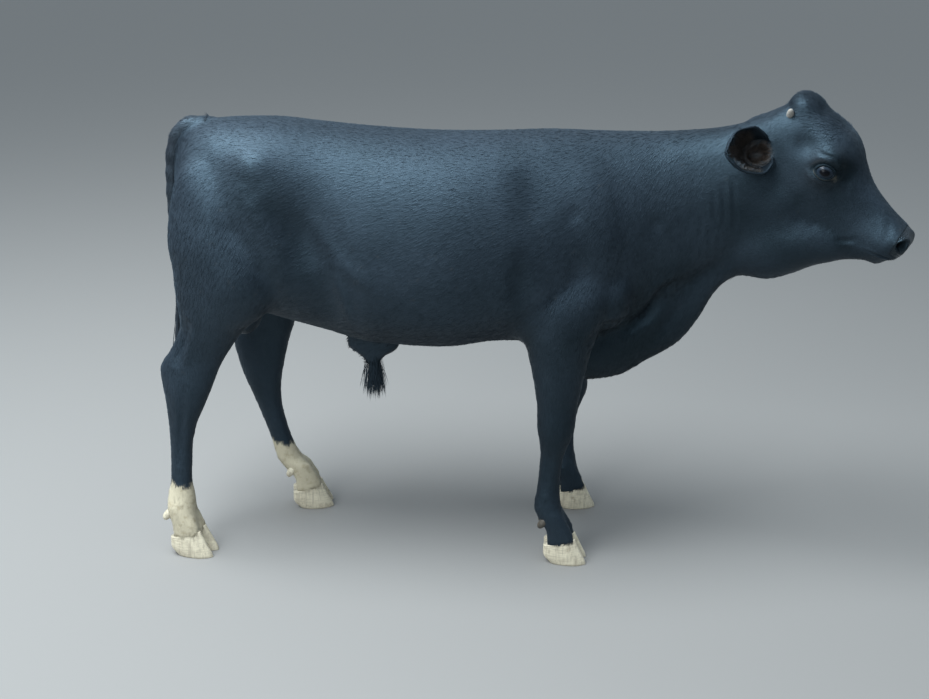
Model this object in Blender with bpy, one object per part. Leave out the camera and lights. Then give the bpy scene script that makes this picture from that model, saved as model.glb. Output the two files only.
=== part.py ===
"""A young black bull calf with white hind socks, standing on its four feet, as a life-size still model.

Everything is in metres. +X is the way the body points, +Y is the calf's left side and +Z is up.
The flesh is built like a clay model: turned lofts for the body, head and legs are fused, the muscle
and bone forms are raised on it or pressed into it, and thin cuts then part it into head, neck, torso,
ears, tail and legs. Eyes, horn buds, claws and dewclaws are pieces of their own.
"""

import math

import bmesh
import bpy
import numpy as np
from mathutils import Matrix

# Driving dimensions of the calf
GAP = 0.0003
FUSE_VOXEL = 0.0075
FUSE_ROUNDS = 12
FLESH_SHARE = 0.044
DETAIL_STRENGTH = 0.006
SEED = 7

# How far the whole calf moves so that its footprint is centred on the origin
CENTRE_SHIFT = (-0.1365, 0.0125, 0.0)

# The body and neck, from the rump to the nape, as upright rings along a line on the ground plan:
# x, y, top, bottom, half width, fullness towards the top, squareness
BODY_RINGS = (
    (-0.716, 0.000, 1.000, 0.800, 0.050, 0.00, 2.0),
    (-0.700, 0.000, 1.050, 0.720, 0.105, 0.00, 2.0),
    (-0.660, 0.000, 1.092, 0.680, 0.150, 0.05, 2.1),
    (-0.590, 0.000, 1.108, 0.660, 0.185, 0.08, 2.3),
    (-0.480, 0.000, 1.111, 0.620, 0.208, 0.08, 2.4),
    (-0.360, 0.000, 1.103, 0.588, 0.212, 0.00, 2.3),
    (-0.220, 0.000, 1.093, 0.555, 0.236, -0.05, 2.2),
    (-0.060, 0.000, 1.087, 0.549, 0.246, -0.05, 2.2),
    (0.090, 0.000, 1.092, 0.565, 0.230, -0.05, 2.1),
    (0.210, 0.000, 1.099, 0.560, 0.200, -0.04, 2.0),
    (0.320, 0.000, 1.098, 0.560, 0.168, 0.00, 2.0),
    (0.430, -0.006, 1.100, 0.620, 0.135, 0.04, 2.0),
    (0.530, -0.020, 1.108, 0.700, 0.112, 0.05, 2.1),
    (0.610, -0.042, 1.122, 0.765, 0.098, 0.05, 2.1),
    (0.680, -0.068, 1.145, 0.800, 0.090, 0.05, 2.1),
    (0.735, -0.094, 1.160, 0.850, 0.075, 0.05, 2.0),
)

# The loose skin of brisket, dewlap and throat: x, y, top, bottom, half width
DEWLAP_RINGS = (
    (0.130, 0.000, 0.630, 0.562, 0.050),
    (0.220, 0.000, 0.640, 0.495, 0.072),
    (0.310, 0.000, 0.660, 0.450, 0.078),
    (0.390, -0.002, 0.700, 0.460, 0.072),
    (0.470, -0.010, 0.740, 0.508, 0.056),
    (0.545, -0.024, 0.800, 0.562, 0.042),
    (0.590, -0.038, 0.850, 0.630, 0.034),
    (0.620, -0.050, 0.860, 0.704, 0.036),
    (0.650, -0.064, 0.880, 0.744, 0.045),
    (0.680, -0.078, 0.930, 0.762, 0.062),
    (0.730, -0.098, 0.950, 0.760, 0.072),
    (0.780, -0.122, 0.950, 0.780, 0.072),
    (0.830, -0.148, 0.940, 0.811, 0.060),
    (0.880, -0.176, 0.920, 0.832, 0.038),
)

# The head lies in its own frame: s runs from the nape to the nose, t towards the forehead.
HEAD_CENTRE = (0.752, -0.088, 1.022)
HEAD_YAW = math.radians(-28)
HEAD_PITCH = math.radians(-38)
# s, top, bottom, half width, fullness towards the top, squareness
HEAD_RINGS = (
    (-0.150, 0.040, -0.060, 0.040, 0.00, 2.0),
    (-0.125, 0.086, -0.100, 0.064, 0.00, 2.0),
    (-0.098, 0.138, -0.124, 0.074, 0.02, 2.2),
    (-0.060, 0.166, -0.140, 0.080, 0.06, 2.3),
    (-0.010, 0.177, -0.146, 0.082, 0.12, 2.4),
    (0.040, 0.181, -0.144, 0.084, 0.18, 2.5),
    (0.080, 0.170, -0.136, 0.079, 0.18, 2.4),
    (0.120, 0.146, -0.122, 0.068, 0.10, 2.3),
    (0.165, 0.126, -0.104, 0.057, 0.04, 2.2),
    (0.210, 0.117, -0.077, 0.052, 0.02, 2.2),
    (0.250, 0.112, -0.042, 0.052, 0.04, 2.3),
    (0.285, 0.110, -0.005, 0.055, 0.08, 2.4),
    (0.310, 0.100, 0.018, 0.050, 0.08, 2.3),
    (0.326, 0.074, 0.044, 0.030, 0.00, 2.0),
)

# Legs are level rings at named heights: height, x of the bone line, distance out, front, back, half width
FORELEG_RINGS = (
    (0.780, 0.270, 0.120, 0.075, 0.110, 0.062),
    (0.700, 0.262, 0.132, 0.085, 0.115, 0.068),
    (0.620, 0.245, 0.138, 0.080, 0.100, 0.062),
    (0.550, 0.238, 0.140, 0.070, 0.080, 0.054),
    (0.480, 0.237, 0.140, 0.060, 0.064, 0.047),
    (0.420, 0.236, 0.140, 0.052, 0.054, 0.041),
    (0.370, 0.236, 0.140, 0.050, 0.052, 0.042),
    (0.335, 0.234, 0.140, 0.042, 0.043, 0.038),
    (0.290, 0.230, 0.140, 0.031, 0.034, 0.028),
    (0.230, 0.226, 0.141, 0.029, 0.033, 0.026),
    (0.180, 0.225, 0.142, 0.032, 0.037, 0.029),
    (0.145, 0.228, 0.143, 0.036, 0.043, 0.034),
    (0.118, 0.236, 0.144, 0.034, 0.040, 0.032),
    (0.095, 0.245, 0.145, 0.028, 0.034, 0.028),
)
HINDLEG_RINGS = (
    (0.900, -0.600, 0.110, 0.110, 0.115, 0.085),
    (0.820, -0.590, 0.122, 0.140, 0.130, 0.092),
    (0.740, -0.580, 0.128, 0.150, 0.130, 0.090),
    (0.670, -0.595, 0.130, 0.125, 0.110, 0.078),
    (0.610, -0.625, 0.132, 0.085, 0.078, 0.060),
    (0.560, -0.645, 0.133, 0.070, 0.082, 0.048),
    (0.515, -0.662, 0.134, 0.060, 0.096, 0.042),
    (0.465, -0.678, 0.135, 0.056, 0.077, 0.042),
    (0.410, -0.692, 0.136, 0.047, 0.057, 0.038),
    (0.350, -0.705, 0.138, 0.034, 0.040, 0.031),
    (0.280, -0.712, 0.140, 0.028, 0.033, 0.026),
    (0.210, -0.716, 0.142, 0.028, 0.032, 0.027),
    (0.175, -0.718, 0.144, 0.033, 0.037, 0.030),
    (0.145, -0.718, 0.146, 0.037, 0.043, 0.034),
    (0.118, -0.714, 0.147, 0.034, 0.040, 0.032),
    (0.095, -0.707, 0.148, 0.028, 0.034, 0.028),
)
FAR_HINDLEG_RINGS = (
    (0.900, -0.600, 0.110, 0.110, 0.115, 0.085),
    (0.820, -0.575, 0.122, 0.135, 0.130, 0.092),
    (0.740, -0.548, 0.128, 0.132, 0.130, 0.090),
    (0.670, -0.530, 0.130, 0.108, 0.112, 0.078),
    (0.610, -0.522, 0.132, 0.086, 0.092, 0.060),
    (0.550, -0.524, 0.132, 0.072, 0.084, 0.048),
    (0.495, -0.532, 0.132, 0.062, 0.094, 0.043),
    (0.445, -0.540, 0.132, 0.058, 0.078, 0.042),
    (0.390, -0.545, 0.132, 0.052, 0.058, 0.039),
    (0.335, -0.538, 0.132, 0.040, 0.043, 0.032),
    (0.280, -0.524, 0.132, 0.033, 0.037, 0.028),
    (0.210, -0.503, 0.132, 0.030, 0.034, 0.027),
    (0.170, -0.490, 0.132, 0.033, 0.037, 0.030),
    (0.140, -0.476, 0.132, 0.037, 0.043, 0.034),
    (0.115, -0.461, 0.132, 0.034, 0.040, 0.032),
    (0.095, -0.448, 0.132, 0.028, 0.034, 0.028),
)

# Each foot: middle of its footprint, heading of its toes, height of its leg's white sock or None
FEET = {
    "fore_right": (0.268, -0.147, math.radians(-6)),
    "fore_left": (0.317, 0.165, math.radians(8)),
    "hind_right": (-0.698, -0.150, math.radians(-10)),
    "hind_left": (-0.424, 0.132, math.radians(8)),
}
FAR_FORE_SHIFT = (0.060, 0.020)
SOCK_TOP = 0.196

# One claw, in its foot's frame: share of the way from coronet to sole, toe end, heel end, half width
CLAW_RINGS = (
    (0.00, 0.030, -0.050, 0.0180),
    (0.30, 0.040, -0.050, 0.0192),
    (0.65, 0.052, -0.044, 0.0200),
    (0.92, 0.061, -0.034, 0.0198),
    (1.00, 0.062, -0.031, 0.0190),
)
CLAW_CLEFT = 0.003
CORONET_HEIGHT = 0.062
CORONET_SLOPE = 0.26
# One toe of flesh: height, forward place, front, back, half width
TOE_RINGS = (
    (0.140, -0.030, 0.026, 0.030, 0.0165),
    (0.115, -0.022, 0.034, 0.034, 0.0185),
    (0.090, -0.012, 0.038, 0.036, 0.0190),
    (0.065, -0.008, 0.041, 0.038, 0.0192),
    (0.040, -0.006, 0.042, 0.038, 0.0180),
)

# Muscle and bone forms of the left side, each mirrored: place, reach along x, y and z, height
BODY_FORMS = (
    ((0.280, 0.175, 0.930), (0.075, 0.080, 0.130), 0.005),
    ((0.150, 0.215, 0.980), (0.045, 0.080, 0.085), -0.008),
    ((0.175, 0.205, 0.700), (0.090, 0.070, 0.090), 0.013),
    ((0.270, 0.170, 0.780), (0.050, 0.060, 0.060), -0.007),
    ((0.365, 0.150, 0.715), (0.055, 0.060, 0.060), 0.009),
    ((0.440, 0.110, 0.800), (0.060, 0.060, 0.110), -0.006),
    ((-0.370, 0.220, 0.880), (0.070, 0.090, 0.100), -0.016),
    ((-0.330, 0.210, 0.690), (0.060, 0.080, 0.060), -0.006),
    ((-0.500, 0.190, 1.035), (0.045, 0.050, 0.035), 0.012),
    ((-0.590, 0.150, 1.010), (0.050, 0.050, 0.050), -0.008),
    ((-0.665, 0.105, 0.985), (0.035, 0.045, 0.045), 0.010),
    ((-0.600, 0.195, 0.890), (0.045, 0.050, 0.060), 0.007),
    ((-0.520, 0.215, 0.760), (0.070, 0.060, 0.090), 0.010),
    ((-0.640, 0.175, 0.760), (0.040, 0.060, 0.090), -0.006),
    ((-0.150, 0.240, 0.640), (0.200, 0.090, 0.060), 0.006),
)
# The same in the head's frame
HEAD_FORMS = (
    ((0.058, 0.088, 0.138), (0.030, 0.030, 0.022), 0.006),
    ((-0.008, 0.088, 0.104), (0.026, 0.030, 0.026), -0.008),
    ((0.110, 0.072, 0.070), (0.030, 0.030, 0.022), -0.004),
    ((0.120, 0.070, 0.010), (0.055, 0.030, 0.018), 0.004),
    ((0.030, 0.085, -0.060), (0.060, 0.040, 0.060), 0.007),
    ((0.150, 0.060, -0.050), (0.035, 0.035, 0.035), -0.006),
    ((0.275, 0.055, 0.045), (0.030, 0.030, 0.028), 0.005),
    ((0.215, 0.052, 0.070), (0.040, 0.030, 0.030), -0.003),
)

# Eyes, nostrils, mouth, ears and horn buds, in the head's frame: s, distance out, t
EYE_PLACE = (0.066, 0.0715, 0.086)
EYE_RADIUS = 0.0240
EYE_OPENING = (0.0220, 0.0165)
NOSTRIL_PLACE = (0.309, 0.032, 0.078)
MOUTH_LINE = ((0.208, 0.054, -0.012), (0.245, 0.054, 0.008), (0.280, 0.053, 0.024), (0.312, 0.040, 0.038))
EAR_ROOT = (-0.080, 0.067, -0.0124)
EAR_WAY = (-0.24, 0.95, 0.02)
EAR_FACE = (0.48, 0.10, 0.86)
EAR_LENGTH = 0.145
EAR_WIDTH = 0.0525
EAR_CURL = 0.010
HORN_BUD_PLACE = (-0.083, 0.058, 0.122)
HORN_BUD_RADIUS = 0.0095
HORN_BUD_LENGTH = 0.019

# The tail, from its root over the rump: x, y, z, radius
TAIL_LINE = (
    (-0.630, 0.000, 1.080, 0.029),
    (-0.670, 0.000, 1.082, 0.029),
    (-0.704, 0.000, 1.056, 0.026),
    (-0.722, 0.000, 1.000, 0.022),
    (-0.728, 0.000, 0.900, 0.019),
    (-0.728, 0.004, 0.780, 0.0165),
    (-0.729, 0.012, 0.680, 0.0145),
    (-0.729, 0.020, 0.590, 0.0130),
)
SWITCH_TOP = 0.605
SWITCH_LINE = (
    (-0.729, 0.018, 0.620, 0.0130),
    (-0.728, 0.026, 0.550, 0.0170),
    (-0.728, 0.032, 0.460, 0.0200),
    (-0.722, 0.036, 0.390, 0.0150),
    (-0.718, 0.038, 0.345, 0.0040),
)
SHEATH_END = 0.482
SHEATH_TUFT_LINE = (
    (-0.232, 0.000, 0.500, 0.0170),
    (-0.230, 0.000, 0.460, 0.0180),
    (-0.229, 0.000, 0.432, 0.0120),
    (-0.229, 0.000, 0.410, 0.0030),
)


def steady_slopes(knots, values):
    """Slopes at the knots that never overshoot: the harmonic mean of the two spans, or 0 at a turn."""
    rises = np.diff(values, axis=0) / np.diff(knots)[:, None]
    product = rises[:-1] * rises[1:]
    total = np.where(product > 0, rises[:-1] + rises[1:], 1.0)
    slopes = np.zeros_like(values)
    slopes[1:-1] = np.where(product > 0, 2 * product / total, 0)
    slopes[0], slopes[-1] = rises[0], rises[-1]
    return slopes


def smooth_rows(rows, spacing):
    """The rows of a table, refined to about one row per spacing of its first three columns' travel."""
    rows = np.asarray(rows, float)
    travel = np.linalg.norm(np.diff(rows[:, :3], axis=0), axis=1)
    knots = np.concatenate([[0], np.cumsum(travel)])
    count = max(2, int(round(knots[-1] / spacing)) + 1)
    at = np.linspace(0, knots[-1], count)
    slopes = steady_slopes(knots, rows)
    i = np.clip(np.searchsorted(knots, at, side="right") - 1, 0, len(knots) - 2)
    width = (knots[i + 1] - knots[i])[:, None]
    u = (at - knots[i])[:, None] / width
    return (
        rows[i] * (1 + 2 * u) * (1 - u) ** 2
        + rows[i + 1] * u**2 * (3 - 2 * u)
        + slopes[i] * width * u * (1 - u) ** 2
        + slopes[i + 1] * width * u**2 * (u - 1)
    )


def unit(vector):
    vector = np.asarray(vector, float)
    return vector / np.linalg.norm(vector, axis=-1, keepdims=True)


def signed_power(value, power):
    return np.sign(value) * np.abs(value) ** power


def ramp(value, low, high):
    """0 below low, 1 above high, and a smooth rise between."""
    u = np.clip((np.asarray(value, float) - low) / (high - low), 0, 1)
    return u * u * (3 - 2 * u)


def tube(rings):
    """Points and faces of a closed skin over rings of equal count, with a fan at each end."""
    count, around = rings.shape[:2]
    points = np.concatenate([rings.reshape(-1, 3), rings[:1].mean(1), rings[-1:].mean(1)])
    i, j = np.meshgrid(np.arange(count - 1), np.arange(around), indexing="ij")
    k = (j + 1) % around
    quads = np.stack([i * around + j, i * around + k, (i + 1) * around + k, (i + 1) * around + j], -1)
    faces = quads.reshape(-1, 4).tolist()
    first, last = count * around, count * around + 1
    base = (count - 1) * around
    faces += [[(a + 1) % around, a, first] for a in range(around)]
    faces += [[base + a, base + (a + 1) % around, last] for a in range(around)]
    return points, faces


def rings_of(centres, sides, ups, half, above, below, fullness, square, around):
    """Rings in the plane of side and up: a rounded box, wider at the top by its fullness."""
    angle = np.arange(around) / around * 2 * math.pi
    power = 2 / square[:, None]
    across = signed_power(np.cos(angle)[None], power)
    along = signed_power(np.sin(angle)[None], power)
    across = across * half[:, None] * (1 + fullness[:, None] * along)
    along = along * np.where(along > 0, above[:, None], below[:, None])
    return centres[:, None] + sides[:, None] * across[..., None] + ups[:, None] * along[..., None]


def upright_loft(rows, spacing, around):
    """A body or dewlap loft: upright rings square to their line on the ground plan."""
    rows = np.asarray(rows, float)
    if rows.shape[1] == 5:
        rows = np.hstack([rows, np.tile([0.0, 2.0], (len(rows), 1))])
    x, y, top, bottom, half, fullness, square = smooth_rows(rows, spacing).T
    way = unit(np.stack([np.gradient(x), np.gradient(y), np.zeros_like(x)], -1))
    sides = np.stack([-way[:, 1], way[:, 0], way[:, 2]], -1)
    ups = np.tile([0.0, 0.0, 1.0], (len(x), 1))
    tall = (top - bottom) / 2
    centres = np.stack([x, y, (top + bottom) / 2], -1)
    return tube(rings_of(centres, sides, ups, half, tall, tall, fullness, square, around))


class Frame:
    """A local frame: s forward, y to the left and t up, in that order."""

    def __init__(self, origin, yaw, pitch, axes=None):
        self.origin = np.array(origin, float)
        level = math.cos(pitch)
        forward = np.array([math.cos(yaw) * level, math.sin(yaw) * level, math.sin(pitch)])
        left = np.array([-math.sin(yaw), math.cos(yaw), 0.0])
        self.axes = np.stack([forward, left, np.cross(forward, left)]) if axes is None else axes

    def out(self, points):
        """Local points, or rows of them, as places in the calf's frame."""
        return np.asarray(points, float) @ self.axes + self.origin

    def turned(self, ways):
        """Local directions as directions in the calf's frame."""
        return np.asarray(ways, float) @ self.axes


HEAD = Frame(HEAD_CENTRE, HEAD_YAW, HEAD_PITCH)
WORLD = Frame((0, 0, 0), 0, 0)


def on_side(place, side):
    """A place given for the left side of a frame, on the side that is asked for."""
    return np.array(place, float) * (1, side, 1)


def head_loft(spacing, around):
    """The head from the nape to the nose, as rings square to its own line."""
    s, top, bottom, half, fullness, square = smooth_rows(HEAD_RINGS, spacing).T
    tall = (top - bottom) / 2
    centres = HEAD.out(np.stack([s, np.zeros_like(s), (top + bottom) / 2], -1))
    sides = np.tile(HEAD.axes[1], (len(s), 1))
    ups = np.tile(HEAD.axes[2], (len(s), 1))
    return tube(rings_of(centres, sides, ups, half, tall, tall, fullness, square, around))


def leg_loft(rows, side, shift=(0.0, 0.0), spacing=0.02, around=24):
    """A leg of level rings. side is +1 for the left leg, and shift carries its foot forward and out."""
    z, x, y, front, back, half = smooth_rows(rows, spacing).T
    share = ramp(-z, -0.62, -0.35)
    centres = np.stack([x + shift[0] * share, side * (y + shift[1] * share), z], -1)
    sides = np.tile([0.0, 1.0, 0.0], (len(z), 1))
    ups = np.tile([1.0, 0.0, 0.0], (len(z), 1))
    flat = np.zeros_like(z)
    return tube(rings_of(centres, sides, ups, half, front, back, flat, flat + 2.1, around)[::-1])


def round_line(rows, spacing, around, first_up=(1.0, 0.0, 0.0), grow=0.0):
    """A round tube along a line of x, y, z and radius, grown all round to make a socket for itself."""
    rows = smooth_rows(rows, spacing)
    centres, radius = rows[:, :3], rows[:, 3] + grow
    way = unit(np.gradient(centres, axis=0))
    sides = unit(np.cross(way, first_up))
    ups = np.cross(sides, way)
    centres[0] -= way[0] * grow
    centres[-1] += way[-1] * grow
    flat = np.zeros_like(radius)
    return tube(rings_of(centres, sides, ups, radius, radius, radius, flat, flat + 2, around)[:, ::-1])


def ellipsoid(centre, radii, turn=None, rows=12, around=20):
    """An egg-shaped mass. turn is a 3 by 3 matrix whose rows are the directions of its radii."""
    turn = np.eye(3) if turn is None else np.asarray(turn, float)
    lat = np.linspace(-math.pi / 2, math.pi / 2, rows + 2)[1:-1]
    lon = np.arange(around) / around * 2 * math.pi
    level = np.cos(lat)[:, None]
    ring = np.stack([level * np.cos(lon), level * np.sin(lon), np.repeat(np.sin(lat)[:, None], around, 1)], -1)
    points, faces = tube(ring)
    points[-2], points[-1] = (0, 0, -1), (0, 0, 1)
    return points * np.asarray(radii) @ turn + np.asarray(centre), faces


def head_mass(place, radii):
    """An egg-shaped mass set in the head's frame."""
    return ellipsoid(HEAD.out(place), radii, HEAD.axes)


def mesh_object(name, shape):
    """A new object of points and closed faces, all turned outward."""
    mesh = bpy.data.meshes.new(name)
    mesh.from_pydata(np.asarray(shape[0]).tolist(), [], shape[1])
    turned = bmesh.new()
    turned.from_mesh(mesh)
    bmesh.ops.recalc_face_normals(turned, faces=turned.faces)
    turned.to_mesh(mesh)
    turned.free()
    made = bpy.data.objects.new(name, mesh)
    bpy.context.scene.collection.objects.link(made)
    return made


def joined(shapes):
    """Several shapes as one list of points and one of faces."""
    points = []
    faces = []
    base = 0
    for shape_points, shape_faces in shapes:
        points.append(shape_points)
        faces += [[i + base for i in face] for face in shape_faces]
        base += len(shape_points)
    return np.concatenate(points), faces


def apply_modifiers(made):
    """Puts the object's modifiers into its mesh."""
    graph = bpy.context.evaluated_depsgraph_get()
    mesh = bpy.data.meshes.new_from_object(made.evaluated_get(graph))
    made.modifiers.clear()
    old = made.data
    made.data = mesh
    bpy.data.meshes.remove(old)
    return made


def box_shape(frame, low, high):
    """A box between two corners of a frame."""
    corner = np.array([[x, y, z] for x in (0, 1) for y in (0, 1) for z in (0, 1)], float)
    points = np.asarray(low) + corner * (np.asarray(high) - np.asarray(low))
    faces = [[0, 1, 3, 2], [4, 6, 7, 5], [0, 4, 5, 1], [2, 3, 7, 6], [0, 2, 6, 4], [1, 5, 7, 3]]
    return frame.out(points), faces


def boolean(made, shape, operation, solver="MANIFOLD"):
    """Cuts a shape from the object, joins it on, or keeps only what both hold."""
    other = mesh_object("other", shape)
    change = made.modifiers.new(operation.lower(), "BOOLEAN")
    change.operation = operation
    change.solver = solver
    change.object = other
    apply_modifiers(made)
    bpy.data.objects.remove(other)
    return made


def keep_largest(made):
    """Drops every separate closed surface but the one with the largest box."""
    shape = bmesh.new()
    shape.from_mesh(made.data)
    shape.verts.ensure_lookup_table()
    left = set(shape.verts)
    groups = []
    while left:
        front = [left.pop()]
        group = set(front)
        while front:
            for edge in front.pop().link_edges:
                for vert in edge.verts:
                    if vert in left:
                        left.discard(vert)
                        group.add(vert)
                        front.append(vert)
        groups.append(group)
    groups.sort(key=box_size)
    for group in groups[:-1]:
        bmesh.ops.delete(shape, geom=list(group), context="VERTS")
    shape.to_mesh(made.data)
    shape.free()
    return made


def box_size(verts):
    places = np.array([vert.co[:] for vert in verts])
    return float(np.ptp(places, axis=0).prod())


def take_out(name, made, frame, low, high):
    """Parts the box between two corners of a frame from the object, with the gap all round."""
    taken = made.copy()
    taken.data = made.data.copy()
    taken.name = name
    bpy.context.scene.collection.objects.link(taken)
    boolean(taken, box_shape(frame, low, high), "INTERSECT")
    boolean(made, box_shape(frame, np.asarray(low) - GAP, np.asarray(high) + GAP), "DIFFERENCE")
    return keep_largest(taken)


def foot_frame(name):
    x, y, heading = FEET[name]
    return Frame((x, y, 0), heading, 0)


def toe_shapes(name):
    """The two toes of one foot, down into the claws."""
    frame = foot_frame(name)
    shapes = []
    for side in (-1, 1):
        z, u, front, back, half = smooth_rows(TOE_RINGS, 0.012).T
        out = side * (CLAW_CLEFT + 0.0185)
        centres = frame.out(np.stack([u, np.full_like(u, out), z], -1))
        sides = np.tile(frame.axes[1], (len(z), 1))
        ups = np.tile(frame.axes[0], (len(z), 1))
        flat = np.zeros_like(z)
        shapes.append(tube(rings_of(centres, sides, ups, half, front, back, flat, flat + 2.3, 20)[::-1]))
    return shapes


def claw_shape(name, side):
    """One claw: its top follows the coronet, its inner side is flat and its sole lies on the floor."""
    frame = foot_frame(name)
    share, toe, heel, half = smooth_rows(CLAW_RINGS, 0.25).T
    angle = np.arange(16) / 16 * 2 * math.pi
    along = np.cos(angle)[None]
    across = signed_power(np.sin(angle), 0.75)[None]
    middle, reach = ((toe + heel) / 2)[:, None], ((toe - heel) / 2)[:, None]
    forward = middle + reach * along
    pinch = 1 - 0.30 * ramp(along, 0.35, 1.0)
    width = half[:, None] * np.where(across > 0, 1.0, 0.86)
    out = CLAW_CLEFT + half[:, None] * 0.86 + width * across * pinch
    height = (1 - share[:, None]) * (CORONET_HEIGHT + CORONET_SLOPE * forward)
    rings = frame.out(np.stack([forward, side * out, height], -1))
    points, faces = tube(rings if side < 0 else rings[:, ::-1])
    return points, faces


def coronet_cutter(name):
    """A box that takes away the flesh of one foot below its coronets."""
    x, y, heading = FEET[name]
    pitch = math.atan(CORONET_SLOPE)
    frame = Frame((x, y, CORONET_HEIGHT), heading, pitch)
    return box_shape(frame, (-0.09, -0.07, -0.16), (0.12, 0.07, GAP))


def dewclaw_shape(name, side, grow=0.0):
    """One dewclaw: a short blunt cone behind the fetlock, pointing down and back."""
    frame = foot_frame(name)
    rows = (
        (-0.038, side * 0.0190, 0.126, 0.0080),
        (-0.050, side * 0.0200, 0.116, 0.0105),
        (-0.059, side * 0.0205, 0.105, 0.0095),
        (-0.063, side * 0.0205, 0.097, 0.0060),
    )
    points, faces = round_line(rows, 0.012, 10, (0.0, 1.0, 0.0), grow)
    return frame.out(points), faces


def eye_shapes(side):
    """The cutters of one eye socket: the ball's hollow, and the almond between the lids."""
    centre = HEAD.out(on_side(EYE_PLACE, side))
    hollow = ellipsoid(centre, (EYE_RADIUS + GAP,) * 3, rows=9, around=16)
    outward = unit(HEAD.turned(on_side((0.16, 0.97, 0.16), side)))
    along = unit(HEAD.turned((0.82, 0.0, 0.57)))
    along = unit(along - outward * (along @ outward))
    up = np.cross(outward, along) * side
    up = up if up @ HEAD.axes[2] > 0 else -up
    angle = np.arange(24) / 24 * 2 * math.pi
    long_reach, tall_reach = EYE_OPENING
    flat = long_reach * signed_power(np.cos(angle), 0.9)
    rise = tall_reach * signed_power(np.sin(angle), 1.25)
    ring = flat[:, None] * along + rise[:, None] * up
    wide = np.stack([centre + ring * grown + outward * far for grown, far in ((0.9, 0.005), (1.05, 0.024), (1.5, 0.048))])
    facing = np.cross(along, up) @ outward
    return hollow, tube(wide if facing < 0 else wide[:, ::-1])


def nostril_shape(side):
    """A comma-shaped hollow beside the nose."""
    place = HEAD.out(on_side(NOSTRIL_PLACE, side))
    turn = np.stack(
        [
            unit(HEAD.turned(on_side((0.35, 0.50, -0.80), side))),
            unit(HEAD.turned(on_side((0.10, -0.85, -0.50), side))),
            unit(HEAD.turned(on_side((0.93, 0.10, 0.35), side))),
        ]
    )
    q, _ = np.linalg.qr(turn.T)
    axes = q.T * np.sign((q.T * turn).sum(1))[:, None]
    if np.linalg.det(axes) < 0:
        axes[2] = -axes[2]
    return ellipsoid(place, (0.0150, 0.0085, 0.0260), axes, rows=9, around=16)


def mouth_shape(side):
    """The line of the mouth on one side, as a thin wedge along its length."""
    rows = smooth_rows([on_side(place, side) for place in MOUTH_LINE], 0.015)
    outward = np.tile(on_side((0.0, 1.0, 0.0), side), (len(rows), 1))
    outward[-2:] = on_side((0.55, 0.83, 0.0), side)
    up = np.tile([0.0, 0.0, 1.0], (len(rows), 1))
    share = np.linspace(0.12, 1, len(rows))[:, None]
    thin = 0.0020 * share
    into = 0.008 * np.sqrt(share)
    deep = np.stack([-into * outward, 0.010 * outward + thin * up, 0.010 * outward - thin * up], 1)
    rings = HEAD.out(rows[:, None] + deep)
    return tube(rings if side > 0 else rings[:, ::-1])


def ear_frame(side):
    """The frame of one ear: out along it, across it and into its open face."""
    way = unit(HEAD.turned(on_side(EAR_WAY, side)))
    face = HEAD.turned(on_side(EAR_FACE, side))
    face = unit(face - way * (face @ way))
    return Frame(HEAD.out(on_side(EAR_ROOT, side)), 0, 0, np.stack([way, np.cross(face, way), face]))


def ear_shape(side):
    """One ear: a leaf rolled into a cup at its root, opening forward and outward."""
    frame = ear_frame(side)
    root = frame.origin
    way, across, face = frame.axes
    u = np.sin(np.linspace(0, math.pi / 2, 11))[:, None]
    v = np.linspace(-1, 1, 11)[None]
    half = EAR_WIDTH * (0.58 + 0.42 * ramp(u, 0.0, 0.50)) * np.sqrt(1 - 0.99 * np.clip(1.6 * u - 0.6, 0, 1) ** 4)
    bend = math.radians(118) - math.radians(56) * ramp(u, 0.0, 0.95) + math.radians(34) * (1 - ramp(u, 0.05, 0.35))
    radius = half / np.sin(np.minimum(bend, math.radians(80)))
    turn = v * bend
    curl = EAR_CURL * u**2
    sheet = []
    for shell in (0.0, 1.0):
        thick = shell * (0.0095 - 0.0045 * u) * (1 - 0.35 * np.abs(v) ** 3)
        r = radius + thick
        line = root + way * (EAR_LENGTH * u)[..., None] + face * curl[..., None]
        ring = line + across * (r * np.sin(turn))[..., None] + face * (radius - r * np.cos(turn))[..., None]
        sheet.append(ring)
    rings = np.concatenate([sheet[0], sheet[1][:, ::-1]], 1)
    return tube(rings if side < 0 else rings[:, ::-1])


def horn_bud_shape(side, grow=0.0):
    """A short rounded bud of horn."""
    root = on_side(HORN_BUD_PLACE, side)
    way = unit(on_side((-0.25, 0.75, 0.62), side))
    profile = ((-0.9, 0.80), (-0.3, 1.0), (0.3, 0.86), (0.8, 0.55), (1.0, 0.22))
    rows = [(*(root + way * far * HORN_BUD_LENGTH), HORN_BUD_RADIUS * wide) for far, wide in profile]
    points, faces = round_line(rows, 0.008, 10, (1.0, 0.0, 0.0), grow)
    return HEAD.out(points), faces


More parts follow.
